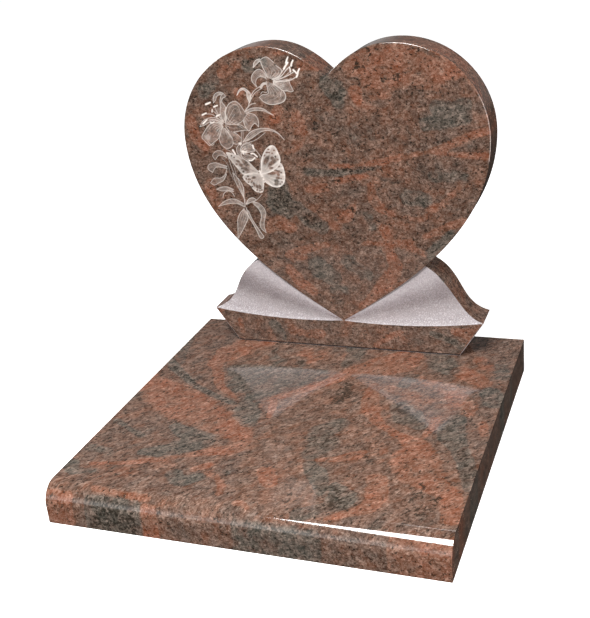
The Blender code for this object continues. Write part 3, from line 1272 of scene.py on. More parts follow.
# The stamens of the great lily.
GREAT_STAMENS = (
    *(thread((k - 266, 640), (k - 258, 655), width=0.9, tone=0.36) for k in range(0, 10, 3)),
    *(thread((-k - 254, 640), (-k - 262, 655), width=0.9, tone=0.32) for k in range(0, 8, 3)),
    thread((-247, 620), (-256, 636), (-263, 650), (-264, 657), tone=0.5),
    thread((-248, 622), (-262, 640), (-270, 648), tone=0.5),
    thread((-250, 622), (-268, 637), (-278, 641), (-288, 641), tone=0.58),
    thread((-250, 620), (-268, 628), (-284, 627), width=1.6, tone=0.6),
    thread((-249, 618), (-262, 622), (-272, 622), width=1.8, tone=0.6),
    thread((-246, 622), (-252, 632), (-258, 637), tone=0.55),
    bar((-286, 663), (-280, 665), (-275, 667)),
    bar((-267, 657), (-262, 659), (-258, 660), thickness=3.8),
    bar((-273, 646), (-272, 651), thickness=3.4, tone=0.8),
    bar((-298, 639), (-293, 641), (-288, 643), thickness=3.8),
    bar((-263, 636), (-259, 638), (-255, 639), thickness=3.8),
    bar((-299, 619), (-293, 624), (-288, 628), thickness=3.6),
    bar((-280, 621), (-275, 621), (-271, 623), thickness=3.6, tone=0.9),
)

# The two long leaves at the right of the great lily.
RIGHT_LEAVES = (
    Petal(
        ((-194, 645), (-180, 652), (-165, 654), (-150, 652), (-138, 645)),
        ((-190, 641), (-176, 647), (-162, 648), (-148, 647), (-137, 642)),
        tip=(-126, 637), body=0.16, rims=(0.5, 0.38), ribs=1,
    ),
    Petal(
        ((-206, 576), (-197, 588), (-186, 599), (-172, 605), (-155, 608), (-136, 606), (-120, 598)),
        ((-200, 578), (-188, 583), (-176, 590), (-162, 599), (-147, 603), (-130, 601), (-117, 594)),
        tip=(-106, 582), body=0.3, rims=(0.52, 0.4), ribs=1,
    ),
    thread((-203, 574), (-188, 577), (-172, 583), (-160, 591), (-150, 598), tone=0.46),
)

# The petals of the upper lily.
UPPER_LILY = (
    Petal(
        ((-133, 722), (-140, 733), (-150, 738), (-160, 733), (-168, 723), (-168, 712)),
        ((-133, 716), (-142, 721), (-152, 721), (-158, 715), (-160, 707)),
        tip=(-158, 700), body=0.26, rims=(0.5, 0.22), ribs=2,
    ),
    Petal(
        ((-130, 719), (-134, 729), (-140, 742)),
        ((-121, 716), (-104, 722), (-97, 735), (-108, 745), (-118, 756), (-130, 764)),
        tip=(-145, 758), body=0.22, rims=(0.66, 0.5), ribs=4, rib_tone=0.34,
    ),
    Petal(
        ((-145, 760), (-153, 758), (-160, 751)),
        ((-144, 756), (-150, 752), (-156, 747)),
        tip=(-162, 742), body=0.5, rims=(0.7, 0.55), ribs=0,
    ),
    Spot((-112, 748), 4, 2, -50, 0.02),
    Petal(
        ((-119, 711), (-100, 713), (-84, 714), (-80, 704)),
        ((-119, 706), (-108, 698), (-98, 691), (-88, 690), (-80, 688)),
        tip=(-74, 690), body=0.40, rims=(0.45, 0.55), ribs=3, rib_tone=0.5,
    ),
    Petal(
        ((-135, 712), (-134, 698), (-132, 688), (-137, 683), (-146, 683)),
        (
            (-119, 706), (-106, 697), (-96, 688), (-93, 678), (-98, 668), (-110, 663), (-122, 661),
            (-135, 662), (-147, 668),
        ),
        tip=(-155, 677), body=0.27, rims=(0.4, 0.64), ribs=3, rib_tone=0.4,
    ),
    thread((-112, 702), (-102, 692), (-105, 680), (-100, 671), tone=0.5),
    thread((-151, 684), (-146, 689), (-137, 687), (-133, 694), tone=0.45),
    Spot((-124, 676), 4, 3, 0, 0.04),
    Spot((-101, 674), 5, 3, 70, 0.05),
)

# The stamens of the upper lily.
UPPER_STAMENS = (
    thread((-121, 716), (-105, 722), (-93, 735), (-87, 742), width=1.8, tone=0.72),
    thread((-120, 715), (-100, 721), (-86, 736), (-79, 741), width=1.6, tone=0.7),
    thread((-118, 714), (-98, 724), (-84, 736), (-75, 744), tone=0.5),
    thread((-118, 713), (-100, 717), (-82, 724), (-69, 731), width=1.8, tone=0.72),
    thread((-118, 712), (-98, 711), (-80, 713), (-64, 720), width=1.9, tone=0.75),
    thread((-118, 709), (-102, 710), (-86, 713), (-76, 717), tone=0.55),
    thread((-119, 717), (-104, 717), (-90, 722), (-80, 730), tone=0.5),
    bar((-91, 738), (-86, 745), (-81, 751)),
    bar((-85, 750), (-83, 756), (-80, 762)),
    bar((-74, 744), (-72, 750), (-69, 755)),
    bar((-77, 731), (-77, 736), (-78, 741), thickness=3.8, tone=0.85),
    bar((-70, 735), (-66, 731), (-63, 727), thickness=3.8),
    bar((-62, 727), (-59, 732), (-56, 737), thickness=3.8),
    bar((-64, 720), (-61, 725), (-59, 731), thickness=3.8),
)
HINGE = (-170, 502)
# The butterfly's four wings and its body.
BUTTERFLY = (
    Wing(
        Curve(
            (-174, 508), (-184, 517), (-196, 530), (-208, 541), (-225, 547), (-249, 553), (-247, 543),
            (-238, 530), (-228, 517), (-218, 504), (-208, 500), (-186, 500), (-174, 508),
        ),
        hinge=HINGE,
        tone=0.62,
        cells=(
            (-238, 545, 1.8, 1.4, 0), (-232, 541, 1.8, 1.4, 0), (-223, 532, 4, 2, -30),
            (-228, 525, 2.2, 1.4, 0), (-217, 523, 4.2, 2.4, -25), (-205, 527, 9, 3.6, -48),
            (-207, 514, 8, 2.6, -25), (-216, 515, 2, 1.3, 0), (-200, 503, 5, 2, -10),
            (-213, 508, 2, 1.6, 0),
        ),
    ),
    Wing(
        Curve(
            (-172, 504), (-190, 506), (-206, 503), (-216, 496), (-213, 488), (-207, 481), (-199, 475),
            (-194, 467), (-187, 461), (-177, 459), (-170, 461), (-167, 472), (-165, 485), (-166, 496),
            (-172, 504),
        ),
        hinge=HINGE,
        tone=0.74,
        cells=(
            (-190, 478, 4, 2, 100), (-183, 473, 4, 2.2, 95), (-176, 472, 4.5, 2.4, 90),
            (-195, 485, 3.5, 1.6, 45), (-189, 494, 4.5, 2.2, 10), (-201, 490, 3.2, 1.8, 5),
            (-208, 491, 1.8, 1.6, 0), (-203, 483, 2, 1.4, 30), (-195, 473, 1.8, 1.6, 0),
            (-184, 465, 2, 1.4, 30), (-177, 463, 1.8, 1.3, 0), (-172, 465, 2.2, 1.3, 20),
            (-203, 497, 2, 1.3, 0),
        ),
    ),
    Wing(
        Curve(
            (-169, 503), (-150, 512), (-135, 521), (-121, 529), (-115, 521), (-113, 511), (-112, 499),
            (-114, 488), (-118, 480), (-126, 474), (-134, 472), (-146, 474), (-157, 480), (-165, 489),
            (-169, 503),
        ),
        hinge=HINGE,
        tone=0.86,
        cells=(
            (-144, 505, 9.5, 3, 0), (-137, 517, 3.4, 1.6, 10), (-134, 512, 4.2, 1.4, -5),
            (-128, 509, 4, 2.2, 10), (-128, 502, 3.2, 2.2, 0), (-130, 494, 4, 2.2, 0),
            (-134, 487, 4.4, 3, -10), (-135, 480, 4.4, 2.6, -10), (-121, 507, 1.8, 1.3, 0),
            (-122, 493, 1.6, 1.3, 0), (-121, 485, 1.6, 1.2, 0), (-126, 480, 1.6, 1.2, 0),
            (-125, 521, 2.4, 1.4, 20),
        ),
    ),
    Wing(
        Curve(
            (-171, 502), (-169, 520), (-166, 535), (-160, 550), (-152, 561), (-143, 568), (-134, 569),
            (-128, 564), (-123, 552), (-120, 541), (-121, 531), (-130, 518), (-150, 506), (-171, 502),
        ),
        hinge=HINGE,
        tone=0.84,
        cells=(
            (-154, 535, 10.5, 3.4, 58), (-140, 530, 12, 3.4, 37), (-139, 540, 4, 2.6, 20),
            (-150, 553, 3, 1.4, 0), (-145, 553, 1.6, 1.4, 0), (-146, 560, 2.2, 1.2, 0),
            (-133, 558, 2, 1.3, 0), (-131, 544, 2, 1.6, 0), (-138, 551, 1.6, 1.2, 0),
            (-126, 537, 1.6, 1.3, 0), (-157, 546, 2.2, 1.2, 50), (-144, 517, 4.5, 1.8, 15),
        ),
    ),
    Stroke(Curve((-173, 510), (-169, 498), (-164, 484)), 4.0, 3.0, 0.86),
    Spot((-168, 494), 2.2, 1.8, 0, 0.3),
    Spot((-164, 487), 2.0, 1.6, 0, 0.3),
    thread((-173, 508), (-171, 520), (-168, 534), (-170, 548), width=1.1, tone=0.4),
)

# The parts of the small half-open bloom over the butterfly.
SMALL_BLOOM = (
    Petal(
        ((-217, 540), (-223, 552), (-223, 563)),
        ((-212, 541), (-213, 553), (-211, 563)),
        tip=(-214, 573), body=0.16, rims=(0.42, 0.42), ribs=2,
    ),
    Petal(
        ((-215, 556), (-211, 566), (-202, 572), (-190, 572), (-182, 566)),
        ((-213, 551), (-205, 550), (-195, 553), (-186, 555)),
        tip=(-179, 556), body=0.42, rims=(0.6, 0.4), ribs=2, rib_tone=0.55,
    ),
    Petal(
        ((-206, 548), (-196, 547), (-186, 544)),
        ((-212, 541), (-204, 535), (-196, 537), (-186, 538)),
        tip=(-178, 538), body=0.10, rims=(0.3, 0.35), ribs=1,
    ),
    thread((-184, 567), (-176, 557), (-170, 549), (-165, 541), (-167, 532), tone=0.5),
    thread((-218, 542), (-230, 547), (-240, 556), (-250, 560), tone=0.4),
    thread((-214, 560), (-206, 572), (-196, 576), (-186, 573), tone=0.45),
    bar((-233, 558), (-231, 554), (-228, 549)),
    bar((-210, 555), (-205, 554), (-201, 554), thickness=4.6),
    bar((-209, 556), (-208, 549), thickness=3.4),
    bar((-189, 550), (-183, 550), (-175, 543), thickness=3.8),
    bar((-196, 534), (-188, 535), (-181, 541), thickness=3.4),
    bar((-183, 569), (-182, 562), thickness=4.0),
    Spot((-213, 573), 4, 3, 0, 0.85),
)


@dataclass(frozen=True)
class LilySpray:
    """The etched spray of lilies, leaves and a butterfly on the left lobe, in millimetres on the face."""

    low: Point = (-318.0, 336.0)
    high: Point = (-48.0, 782.0)
    pitch: float = 1.0

    def drawing(self) -> Etching:
        """Draws the whole spray.

        Returns:
            The finished drawing.
        """
        etching = Etching(self.low, self.high, self.pitch)
        for element in (
            *SIDE_BLOOM, *LOW_LEAVES, *STEMS, *GREAT_LILY, *GREAT_STAMENS,
            *RIGHT_LEAVES, *UPPER_LILY, *UPPER_STAMENS, *BUTTERFLY, *SMALL_BLOOM,
        ):
            element.etch(etching)
        return etching


@dataclass
class HeartStone:
    """The heart and its winged base, one block: polished all over, with two frosted hollows."""

    node: str = "heart_stone"
    slot: str = "heart_granite"
    spray: LilySpray = field(default_factory=LilySpray)
    plane_slack: float = 0.02 * MM
    weld: float = 0.01 * MM
    facing_front: float = -0.8
    rim_clearance: float = 3.0 * MM
    rim_bearings: int = 8
    meeting: float = 1e-7
    face_pitch: float = 5.0 * MM
    back_pitch: float = 8.0 * MM
    panel_seed: Point = (0.2, 0.2)
    panel_bend: float = math.radians(20.0)
    soft_bend: float = math.radians(15.0)
    arris_bend: Point = (math.radians(38.0), math.radians(52.0))
    faintest: float = 0.01
    grid_growth: int = 2
    grid_clearance: int = 2
    front: float = field(init=False, default=0.0)

    def build(self, granite: bpy.types.Material, frosted: bpy.types.Material) -> bpy.types.Object:
        """Builds the stone on the solid's own form and dresses it.

        Args:
            granite: the polished finish, with the etching.
            frosted: the hollows' finish.

        Returns:
            The finished piece.
        """
        shell = bmesh.new()
        shell.from_mesh(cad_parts[self.node].data)
        bmesh.ops.remove_doubles(shell, verts=shell.verts, dist=self.weld)
        shell.normal_update()
        self.front = min(vertex.co.y for vertex in shell.verts)
        face = self._flat_side(shell, self.front)
        rear = self._flat_side(shell, max(vertex.co.y for vertex in shell.verts))
        for panel in self._panels(shell, set(face)):
            panel.material_index = 1
        for side in shell.faces:
            side.smooth = True
        tone = shell.verts.layers.float.new(FROST)
        self._lay_face(shell, face, self.face_pitch, tone, self.spray.drawing())
        self._lay_face(shell, rear, self.back_pitch, tone, None)
        for edge in shell.edges:
            if len(edge.link_faces) == 2:
                edge.smooth = self._is_soft(edge.calc_face_angle())
        mesh = bpy.data.meshes.new("heart_stone_dressed")
        shell.to_mesh(mesh)
        shell.free()
        lay_veins(mesh, HEART_VEINS, 2)
        mesh.materials.append(granite)
        mesh.materials.append(frosted)
        piece = placed("heart_stone_dressed", mesh)
        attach(piece, ONE_BODY)
        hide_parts(self.node)
        LOG.info("heart stone: %d faces", len(mesh.polygons))
        return piece

    def _flat_side(self, shell: bmesh.types.BMesh, depth: float) -> list[bmesh.types.BMFace]:
        """Finds the faces that lie in one upright plane.

        Args:
            shell: the stone's mesh.
            depth: the plane's place from front to back.

        Returns:
            The faces.
        """
        return [f for f in shell.faces if all(abs(v.co.y - depth) < self.plane_slack for v in f.verts)]

    def _is_soft(self, bend: float) -> bool:
        """Tells a smooth bend, or the middle of the rounded arris, from an edge of its own."""
        return bend < self.soft_bend or self.arris_bend[0] < bend < self.arris_bend[1]

    def _panels(self, shell: bmesh.types.BMesh, face: set[bmesh.types.BMFace]) -> list[bmesh.types.BMFace]:
        """Finds the faces of the two hollows.

        Args:
            shell: the stone's mesh.
            face: the faces of its front plane, which the search doesn't enter.

        Returns:
            The hollows' faces.
        """
        found: set[bmesh.types.BMFace] = set()
        for turn in (-1.0, 1.0):
            seed = Vector((self.panel_seed[0] * turn, self.front, self.panel_seed[1]))
            front = [f for f in shell.faces if f not in face and f.normal.y < self.facing_front]
            waiting = [min(front, key=lambda f: (f.calc_center_median() - seed).length)]
            while waiting:
                current = waiting.pop()
                if current in found or current in face:
                    continue
                found.add(current)
                for edge in current.edges:
                    if len(edge.link_faces) == 2 and edge.calc_face_angle() < self.panel_bend:
                        waiting.extend(edge.link_faces)
        return list(found)

    def _lay_face(
        self,
        shell: bmesh.types.BMesh,
        face: list[bmesh.types.BMFace],
        pitch: float,
        tone: bmesh.types.BMLayerItem,
        etching: Etching | None,
    ) -> None:
        """Lays a flat side again with points for the veins, and a fine grid where the spray is etched.

        Args:
            shell: the stone's mesh.
            face: the faces of the flat side.
            pitch: how far apart the plain points are.
            tone: where each vertex keeps its frosting.
            etching: the drawing on it, if it has one.
        """
        inner = set(face)
        depth = face[0].verts[0].co.y
        outward = face[0].normal.y
        sides = dict.fromkeys(edge for f in face for edge in f.edges)
        rim = [edge for edge in sides if sum(f in inner for f in edge.link_faces) == 1]
        verts = list(dict.fromkeys(vertex for edge in rim for vertex in edge.verts))
        number = {vertex: index for index, vertex in enumerate(verts)}
        edges = [tuple(number[v] for v in e.verts) for e in rim]
        bmesh.ops.delete(shell, geom=face, context="FACES_KEEP_BOUNDARY")
        loop = np.array([(v.co.x, v.co.z) for v in verts])
        starts, ends = loop[[a for a, _ in edges]], loop[[b for _, b in edges]]
        plain = self._plain_places(starts, ends, pitch)
        if etching:
            cells = self._cells(etching, starts, ends)
            grid = self._grid(shell, etching, cells, tone)
            border = self._border(cells)
            keys = dict.fromkeys(key for edge in border for key in edge)
            place = {key: len(verts) + index for index, key in enumerate(keys)}
            verts += [grid[key] for key in place]
            edges += [(place[a], place[b]) for a, b in border]
            plain = plain[~self._over(plain, etching, cells)]
        ring = np.array([(v.co.x, v.co.z) for v in verts])
        verts += [shell.verts.new((x, depth, z)) for x, z in plain]
        flat = [Vector((v.co.x, v.co.z)) for v in verts]
        points, _, triangles, origins, _, _ = delaunay_2d_cdt(flat, edges, [], 0, self.meeting)
        kept = [verts[origin[0]] if origin else None for origin in origins]
        middles = np.array([[sum(points[i][k] for i in t) / 3 for k in (0, 1)] for t in triangles])
        odd = crossings(middles, ring[[a for a, _ in edges]], ring[[b for _, b in edges]])
        for triangle, wanted in zip(triangles, odd):
            corners = [kept[i] for i in triangle]
            if wanted and None not in corners and len(set(corners)) == 3:
                self._face(shell, corners, outward)

    def _plain_places(self, starts: np.ndarray, ends: np.ndarray, pitch: float) -> np.ndarray:
        """Spreads points over a flat side, clear of its rim.

        Args:
            starts: where each straight piece of its rim starts.
            ends: where it ends.
            pitch: how far apart they are.

        Returns:
            The points, one row each.
        """
        low, high = starts.min(0), starts.max(0)
        x, z = np.meshgrid(np.arange(low[0], high[0], pitch), np.arange(low[1], high[1], pitch))
        places = np.stack([x.ravel(), z.ravel()], 1)
        return places[self._clear(places, starts, ends)]

    def _clear(self, places: np.ndarray, starts: np.ndarray, ends: np.ndarray) -> np.ndarray:
        """Tells which places lie inside a rim and clear of it.

        Args:
            places: the places, one row each.
            starts: where each straight piece of the rim starts.
            ends: where it ends.

        Returns:
            True for each place that does.
        """
        safe = np.ones(len(places), bool)
        for number in range(self.rim_bearings):
            angle = number * math.tau / self.rim_bearings
            step = self.rim_clearance * np.array([math.cos(angle), math.sin(angle)])
            safe &= crossings(places + step, starts, ends)
        return safe

    def _over(self, places: np.ndarray, etching: Etching, cells: np.ndarray) -> np.ndarray:
        """Tells which places lie on the etched part or right beside it.

        Args:
            places: the places, one row each.
            etching: the drawing.
            cells: which of its cells are kept.

        Returns:
            True for each place that does.
        """
        column = ((places[:, 0] / MM - etching.x[0, 0]) / etching.pitch).astype(int)
        row = ((places[:, 1] / MM - etching.z[0, 0]) / etching.pitch).astype(int)
        over = np.zeros(len(places), bool)
        near = self.grid_clearance
        for aside in (-near, 0, near):
            for above in (-near, 0, near):
                across, up = column + aside, row + above
                held = (across >= 0) & (across < cells.shape[1]) & (up >= 0) & (up < cells.shape[0])
                over[held] |= cells[up[held], across[held]]
        return over

    def _cells(self, etching: Etching, starts: np.ndarray, ends: np.ndarray) -> np.ndarray:
        """Picks the grid's cells that the drawing needs.

        Args:
            etching: the drawing.
            starts: where each straight piece of the face's rim starts.
            ends: where it ends.

        Returns:
            True for each cell that is kept.
        """
        drawn = etching.tone > self.faintest
        wanted = drawn[:-1, :-1] | drawn[1:, :-1] | drawn[:-1, 1:] | drawn[1:, 1:]
        for _ in range(self.grid_growth):
            grown = wanted.copy()
            grown[1:] |= wanted[:-1]
            grown[:-1] |= wanted[1:]
            grown[:, 1:] |= wanted[:, :-1]
            grown[:, :-1] |= wanted[:, 1:]
            wanted = grown
        middle_x = (etching.x[:-1, :-1] + etching.pitch / 2) * MM
        middle_z = (etching.z[:-1, :-1] + etching.pitch / 2) * MM
        middles = np.stack([middle_x.ravel(), middle_z.ravel()], 1)
        return wanted & self._clear(middles, starts, ends).reshape(wanted.shape)

    def _grid(
        self, shell: bmesh.types.BMesh, etching: Etching, cells: np.ndarray, tone: bmesh.types.BMLayerItem
    ) -> dict[Cell, bmesh.types.BMVert]:
        """Adds the etched part of the face.

        Args:
            shell: the stone's mesh.
            etching: the drawing.
            cells: which of its cells are kept.
            tone: where each vertex keeps its frosting.

        Returns:
            The new vertices, by row and column.
        """
        grid: dict[Cell, bmesh.types.BMVert] = {}
        for row, column in np.argwhere(cells):
            corners = []
            for key in ((row, column), (row, column + 1), (row + 1, column + 1), (row + 1, column)):
                if key not in grid:
                    vertex = shell.verts.new((etching.x[key] * MM, self.front, etching.z[key] * MM))
                    vertex[tone] = float(etching.tone[key])
                    grid[key] = vertex
                corners.append(grid[key])
            self._face(shell, corners, -1.0)
        return grid

    @staticmethod
    def _border(cells: np.ndarray) -> list[tuple[Cell, Cell]]:
        """Lists the cell sides that have a kept cell on one side only.

        Args:
            cells: which cells are kept.

        Returns:
            Each side as its two corners, by row and column.
        """
        wide = np.pad(cells, 1)
        sides = []
        for row, column in np.argwhere(wide[1:, 1:-1] != wide[:-1, 1:-1]):
            sides.append(((row, column), (row, column + 1)))
        for row, column in np.argwhere(wide[1:-1, 1:] != wide[1:-1, :-1]):
            sides.append(((row, column), (row + 1, column)))
        return sides

    @staticmethod
    def _face(shell: bmesh.types.BMesh, corners: list[bmesh.types.BMVert], outward: float) -> None:
        """Adds one flat face.

        Args:
            shell: the stone's mesh.
            corners: its corners, either way round.
            outward: the side that it looks to: below 0 the front, above 0 the back.
        """
        face = shell.faces.new(corners)
        face.normal_update()
        if face.normal.y * outward < 0:
            face.normal_flip()
        face.smooth = False
        face.material_index = 0


@dataclass
class LedgerSlab:
    """The ledger that the stone stands on: a square slab with its front edge rounded over."""

    node: str = "ledger_slab"
    slot: str = "slab_granite"
    nose_radius: float = 40.0 * MM
    nose_segments: int = 40
    pitch: float = 4.0 * MM
    arris: float = 1.5 * MM
    arris_segments: int = 3
    arris_angle: float = math.radians(50.0)

    def build(self, granite: bpy.types.Material) -> bpy.types.Object:
        """Builds the slab in its solid's box and dresses it.

        Args:
            granite: its finish.

        Returns:
            The finished piece.
        """
        mesh = self._mesh(*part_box(self.node))
        lay_veins(mesh, SLAB_VEINS, 1)
        mesh.materials.append(granite)
        piece = placed("ledger_slab_dressed", mesh)
        arris = piece.modifiers.new("arris", "BEVEL")
        arris.width = self.arris
        arris.segments = self.arris_segments
        arris.limit_method = "ANGLE"
        arris.angle_limit = self.arris_angle
        arris.harden_normals = True
        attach(piece, ONE_BODY)
        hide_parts(self.node)
        LOG.info("ledger slab: %d faces", len(mesh.polygons))
        return piece

    def _mesh(self, low: Vector, high: Vector) -> bpy.types.Mesh:
        """Makes the slab's mesh: a close grid over the top and the nose, walls under it and a plain bed.

        Args:
            low: the lower corner of the slab's box.
            high: its upper corner.

        Returns:
            The new mesh.
        """
        turn = np.linspace(0.0, math.pi / 2, self.nose_segments + 1)
        nose = low.y + self.nose_radius * (1.0 - np.cos(turn))
        steps = round((high.y - nose[-1]) / self.pitch)
        deep = np.concatenate([nose, np.linspace(nose[-1], high.y, steps + 1)[1:]])
        rise = np.full(len(deep), high.z)
        rise[:len(turn)] = high.z - self.nose_radius * (1.0 - np.sin(turn))
        wide = np.linspace(low.x, high.x, round((high.x - low.x) / self.pitch) + 1)
        last_x, last_y = len(wide) - 1, len(deep) - 1
        verts = [(x, y, z) for x in wide for y, z in zip(deep, rise)]
        top = {(i, j): i * len(deep) + j for i in range(len(wide)) for j in range(len(deep))}
        rim = [(i, 0) for i in range(last_x)] + [(last_x, j) for j in range(last_y)]
        rim += [(i, last_y) for i in range(last_x, 0, -1)] + [(0, j) for j in range(last_y, 0, -1)]
        under = {key: len(verts) + index for index, key in enumerate(rim)}
        verts += [(wide[i], deep[j], low.z) for i, j in rim]
        faces = [
            (top[i, j], top[i + 1, j], top[i + 1, j + 1], top[i, j + 1])
            for i in range(last_x) for j in range(last_y)
        ]
        faces += [(under[a], under[b], top[b], top[a]) for a, b in zip(rim, rim[1:] + rim[:1])]
        faces.append(tuple(under[key] for key in reversed(rim)))
        mesh = bpy.data.meshes.new("ledger_slab_dressed")
        mesh.from_pydata(verts, [], faces)
        mesh.shade_smooth()
        return mesh


@dataclass(frozen=True)
class SoftLight:
    """A square soft light, with its side in metres and its power in watts."""

    name: str
    place: Place
    side: float
    power: float
    mirrored: bool = False
    lights_matt: bool = True

    def build(self) -> None:
        """Stands the light in its place, so that it faces the foot of the stone."""
        aim = (-Vector(self.place)).to_track_quat("-Z", "Y").to_matrix().to_4x4()
        lamp = self.add(Matrix.Translation(self.place) @ aim)
        lamp.visible_glossy = self.mirrored
        lamp.visible_diffuse = self.lights_matt

    def add(self, matrix: Matrix) -> bpy.types.Object:
        """Adds the light at a given stand.

        Args:
            matrix: where it stands and faces.

        Returns:
            The light.
        """
        data = bpy.data.lights.new(self.name, "AREA")
        data.shape = "SQUARE"
        data.size = self.side
        data.energy = self.power
        lamp = placed(self.name, data)
        lamp.matrix_world = matrix
        lamp.visible_camera = False
        return lamp


@dataclass
class Studio:
    """The plain pale floor, the soft lights, the room that the polish mirrors, and the camera.

    The fill and the bounce only light the stone, and the two cards are only mirrored in it.
    """

    camera_place: Place = (0.73267, -1.80398, 1.14652)
    camera_azimuth: float = math.radians(22.134)
    camera_elevation: float = math.radians(23.300)
    camera_roll: float = math.radians(-5.608)
    camera_lens: float = 60.534
    sensor_width: float = 36.0
    floor_half: float = 30.0
    floor_tint: Tint = (0.9, 0.9, 0.9, 1.0)
    floor_glow: float = 0.89
    softbox_corner: Place = (-1.13, -1.645, 3.08)
    softbox_turn: float = math.radians(37.0)
    softbox: SoftLight = SoftLight("softbox", (0.0, 0.0, 0.0), 1.5, 190.0)
    others: tuple[SoftLight, ...] = (
        SoftLight("fill", (4.2, -1.7, 1.0), 3.0, 150.0),
        SoftLight("bounce", (0.0, -1.6, 0.27), 0.5, 4.2),
        SoftLight("card", (3.4, -1.7, 0.3), 3.2, 160.0, mirrored=True, lights_matt=False),
        SoftLight("left card", (-2.67, 0.54, 2.04), 0.75, 30.0, mirrored=True, lights_matt=False),
    )
    ambient: float = 0.14
    mirrored_dark: float = 0.02

    BEHIND = Ease(0.1, 0.7, 0.35, 1.0)
    BEHIND_LEFT = Ease(0.05, 0.42, 1.0, 0.1)
    BACK_GLOW = Ease(-0.13, -0.03, 0.0, 0.10)
    HORIZON = Ease(-0.13, -0.03)
    HORIZON_GLOW = Ease(0.04, 0.22, 0.22, 0.0)
    AHEAD = Ease(-0.8, -0.5, 1.0, 0.0)
    WALL_FOOT = Ease(0.02, 0.06)
    WALL_GLOW = Ease(0.2, 0.55, 1.0, 0.1)

    def build(self) -> None:
        """Sets up the floor, the lights, the room and the camera."""
        self._floor()
        self._softbox()
        for light in self.others:
            light.build()
        self._room()
        self._camera()
        bpy.context.scene.view_settings.view_transform = "Standard"
        LOG.info("studio: floor, softbox, %d other lights, room and camera", len(self.others))

    def _floor(self) -> None:
        """Lays the floor: white paper that glows evenly and that the polish doesn't mirror."""
        half = self.floor_half
        mesh = bpy.data.meshes.new("studio_floor")
        corners = [(-half, -half, 0.0), (half, -half, 0.0), (half, half, 0.0), (-half, half, 0.0)]
        mesh.from_pydata(corners, [], [(0, 1, 2, 3)])
        paper = bpy.data.materials.new("white paper")
        paper.use_nodes = True
        looks = {
            "Base Color": self.floor_tint, "Roughness": 1.0, "Specular IOR Level": 0.0,
            "Emission Color": WHITE, "Emission Strength": self.floor_glow,
        }
        for name, value in looks.items():
            paper.node_tree.nodes["Principled BSDF"].inputs[name].default_value = value
        mesh.materials.append(paper)
        floor = placed("studio_floor", mesh)
        floor.visible_glossy = False
        floor.visible_diffuse = False

    def _softbox(self) -> None:
        """Hangs the softbox over the front left, as its streak on the slab's nose shows it."""
        turn = Matrix.Rotation(self.softbox_turn, 4, "Z")
        half = self.softbox.side / 2
        centre = Vector(self.softbox_corner) + turn.to_3x3() @ Vector((half, -half, 0.0))
        self.softbox.add(Matrix.Translation(centre) @ turn)

    def _room(self) -> None:
        """Sets the room: dim all round, white where the camera looks past the stone.

        The polish mirrors a faint glow behind the stone and a bright wall in front of it.
        """
        world = bpy.data.worlds.new("studio room")
        bpy.context.scene.world = world
        world.use_nodes = True
        world.node_tree.nodes.clear()
        wiring = Wiring(world.node_tree)
        axes = wiring.parts(wiring.add("ShaderNodeTexCoord").outputs["Generated"])
        x, y, z = axes["X"], axes["Y"], axes["Z"]
        behind = wiring.number("MULTIPLY", wiring.ease(y, *self.BEHIND), wiring.ease(x, *self.BEHIND_LEFT))
        glow = wiring.number(
            "MULTIPLY_ADD", wiring.ease(z, *self.HORIZON_GLOW), wiring.ease(z, *self.HORIZON),
            wiring.ease(z, *self.BACK_GLOW),
        )
        mirrored = wiring.number("MULTIPLY_ADD", behind, glow, self.mirrored_dark)
        ahead = wiring.number("MULTIPLY", wiring.ease(y, *self.AHEAD), wiring.ease(z, *self.WALL_FOOT))
        wall = wiring.number("MULTIPLY", ahead, wiring.ease(z, *self.WALL_GLOW))
        mirrored = wiring.number("ADD", mirrored, wall)
        path = wiring.add("ShaderNodeLightPath").outputs
        level = wiring.ease(path["Is Glossy Ray"], 0.0, 1.0, self.ambient, mirrored)
        strength = wiring.ease(path["Is Camera Ray"], 0.0, 1.0, level, 1.0)
        light = wiring.add("ShaderNodeBackground", {"Color": WHITE, "Strength": strength})
        wiring.add("ShaderNodeOutputWorld", {"Surface": light.outputs[0]})

    def _camera(self) -> None:
        """Stands the camera where the photograph was taken from."""
        azimuth, elevation = self.camera_azimuth, self.camera_elevation
        flat = math.cos(elevation)
        back = Vector((math.sin(azimuth) * flat, -math.cos(azimuth) * flat, math.sin(elevation)))
        right = Vector((math.cos(azimuth), math.sin(azimuth), 0.0))
        level = Matrix((right, back.cross(right), back)).transposed()
        turn = level @ Matrix.Rotation(self.camera_roll, 3, "Z")
        data = bpy.data.cameras.new("camera")
        data.sensor_width = self.sensor_width
        data.lens = self.camera_lens
        camera = placed("camera", data)
        camera.matrix_world = Matrix.Translation(self.camera_place) @ turn.to_4x4()
        bpy.context.scene.camera = camera


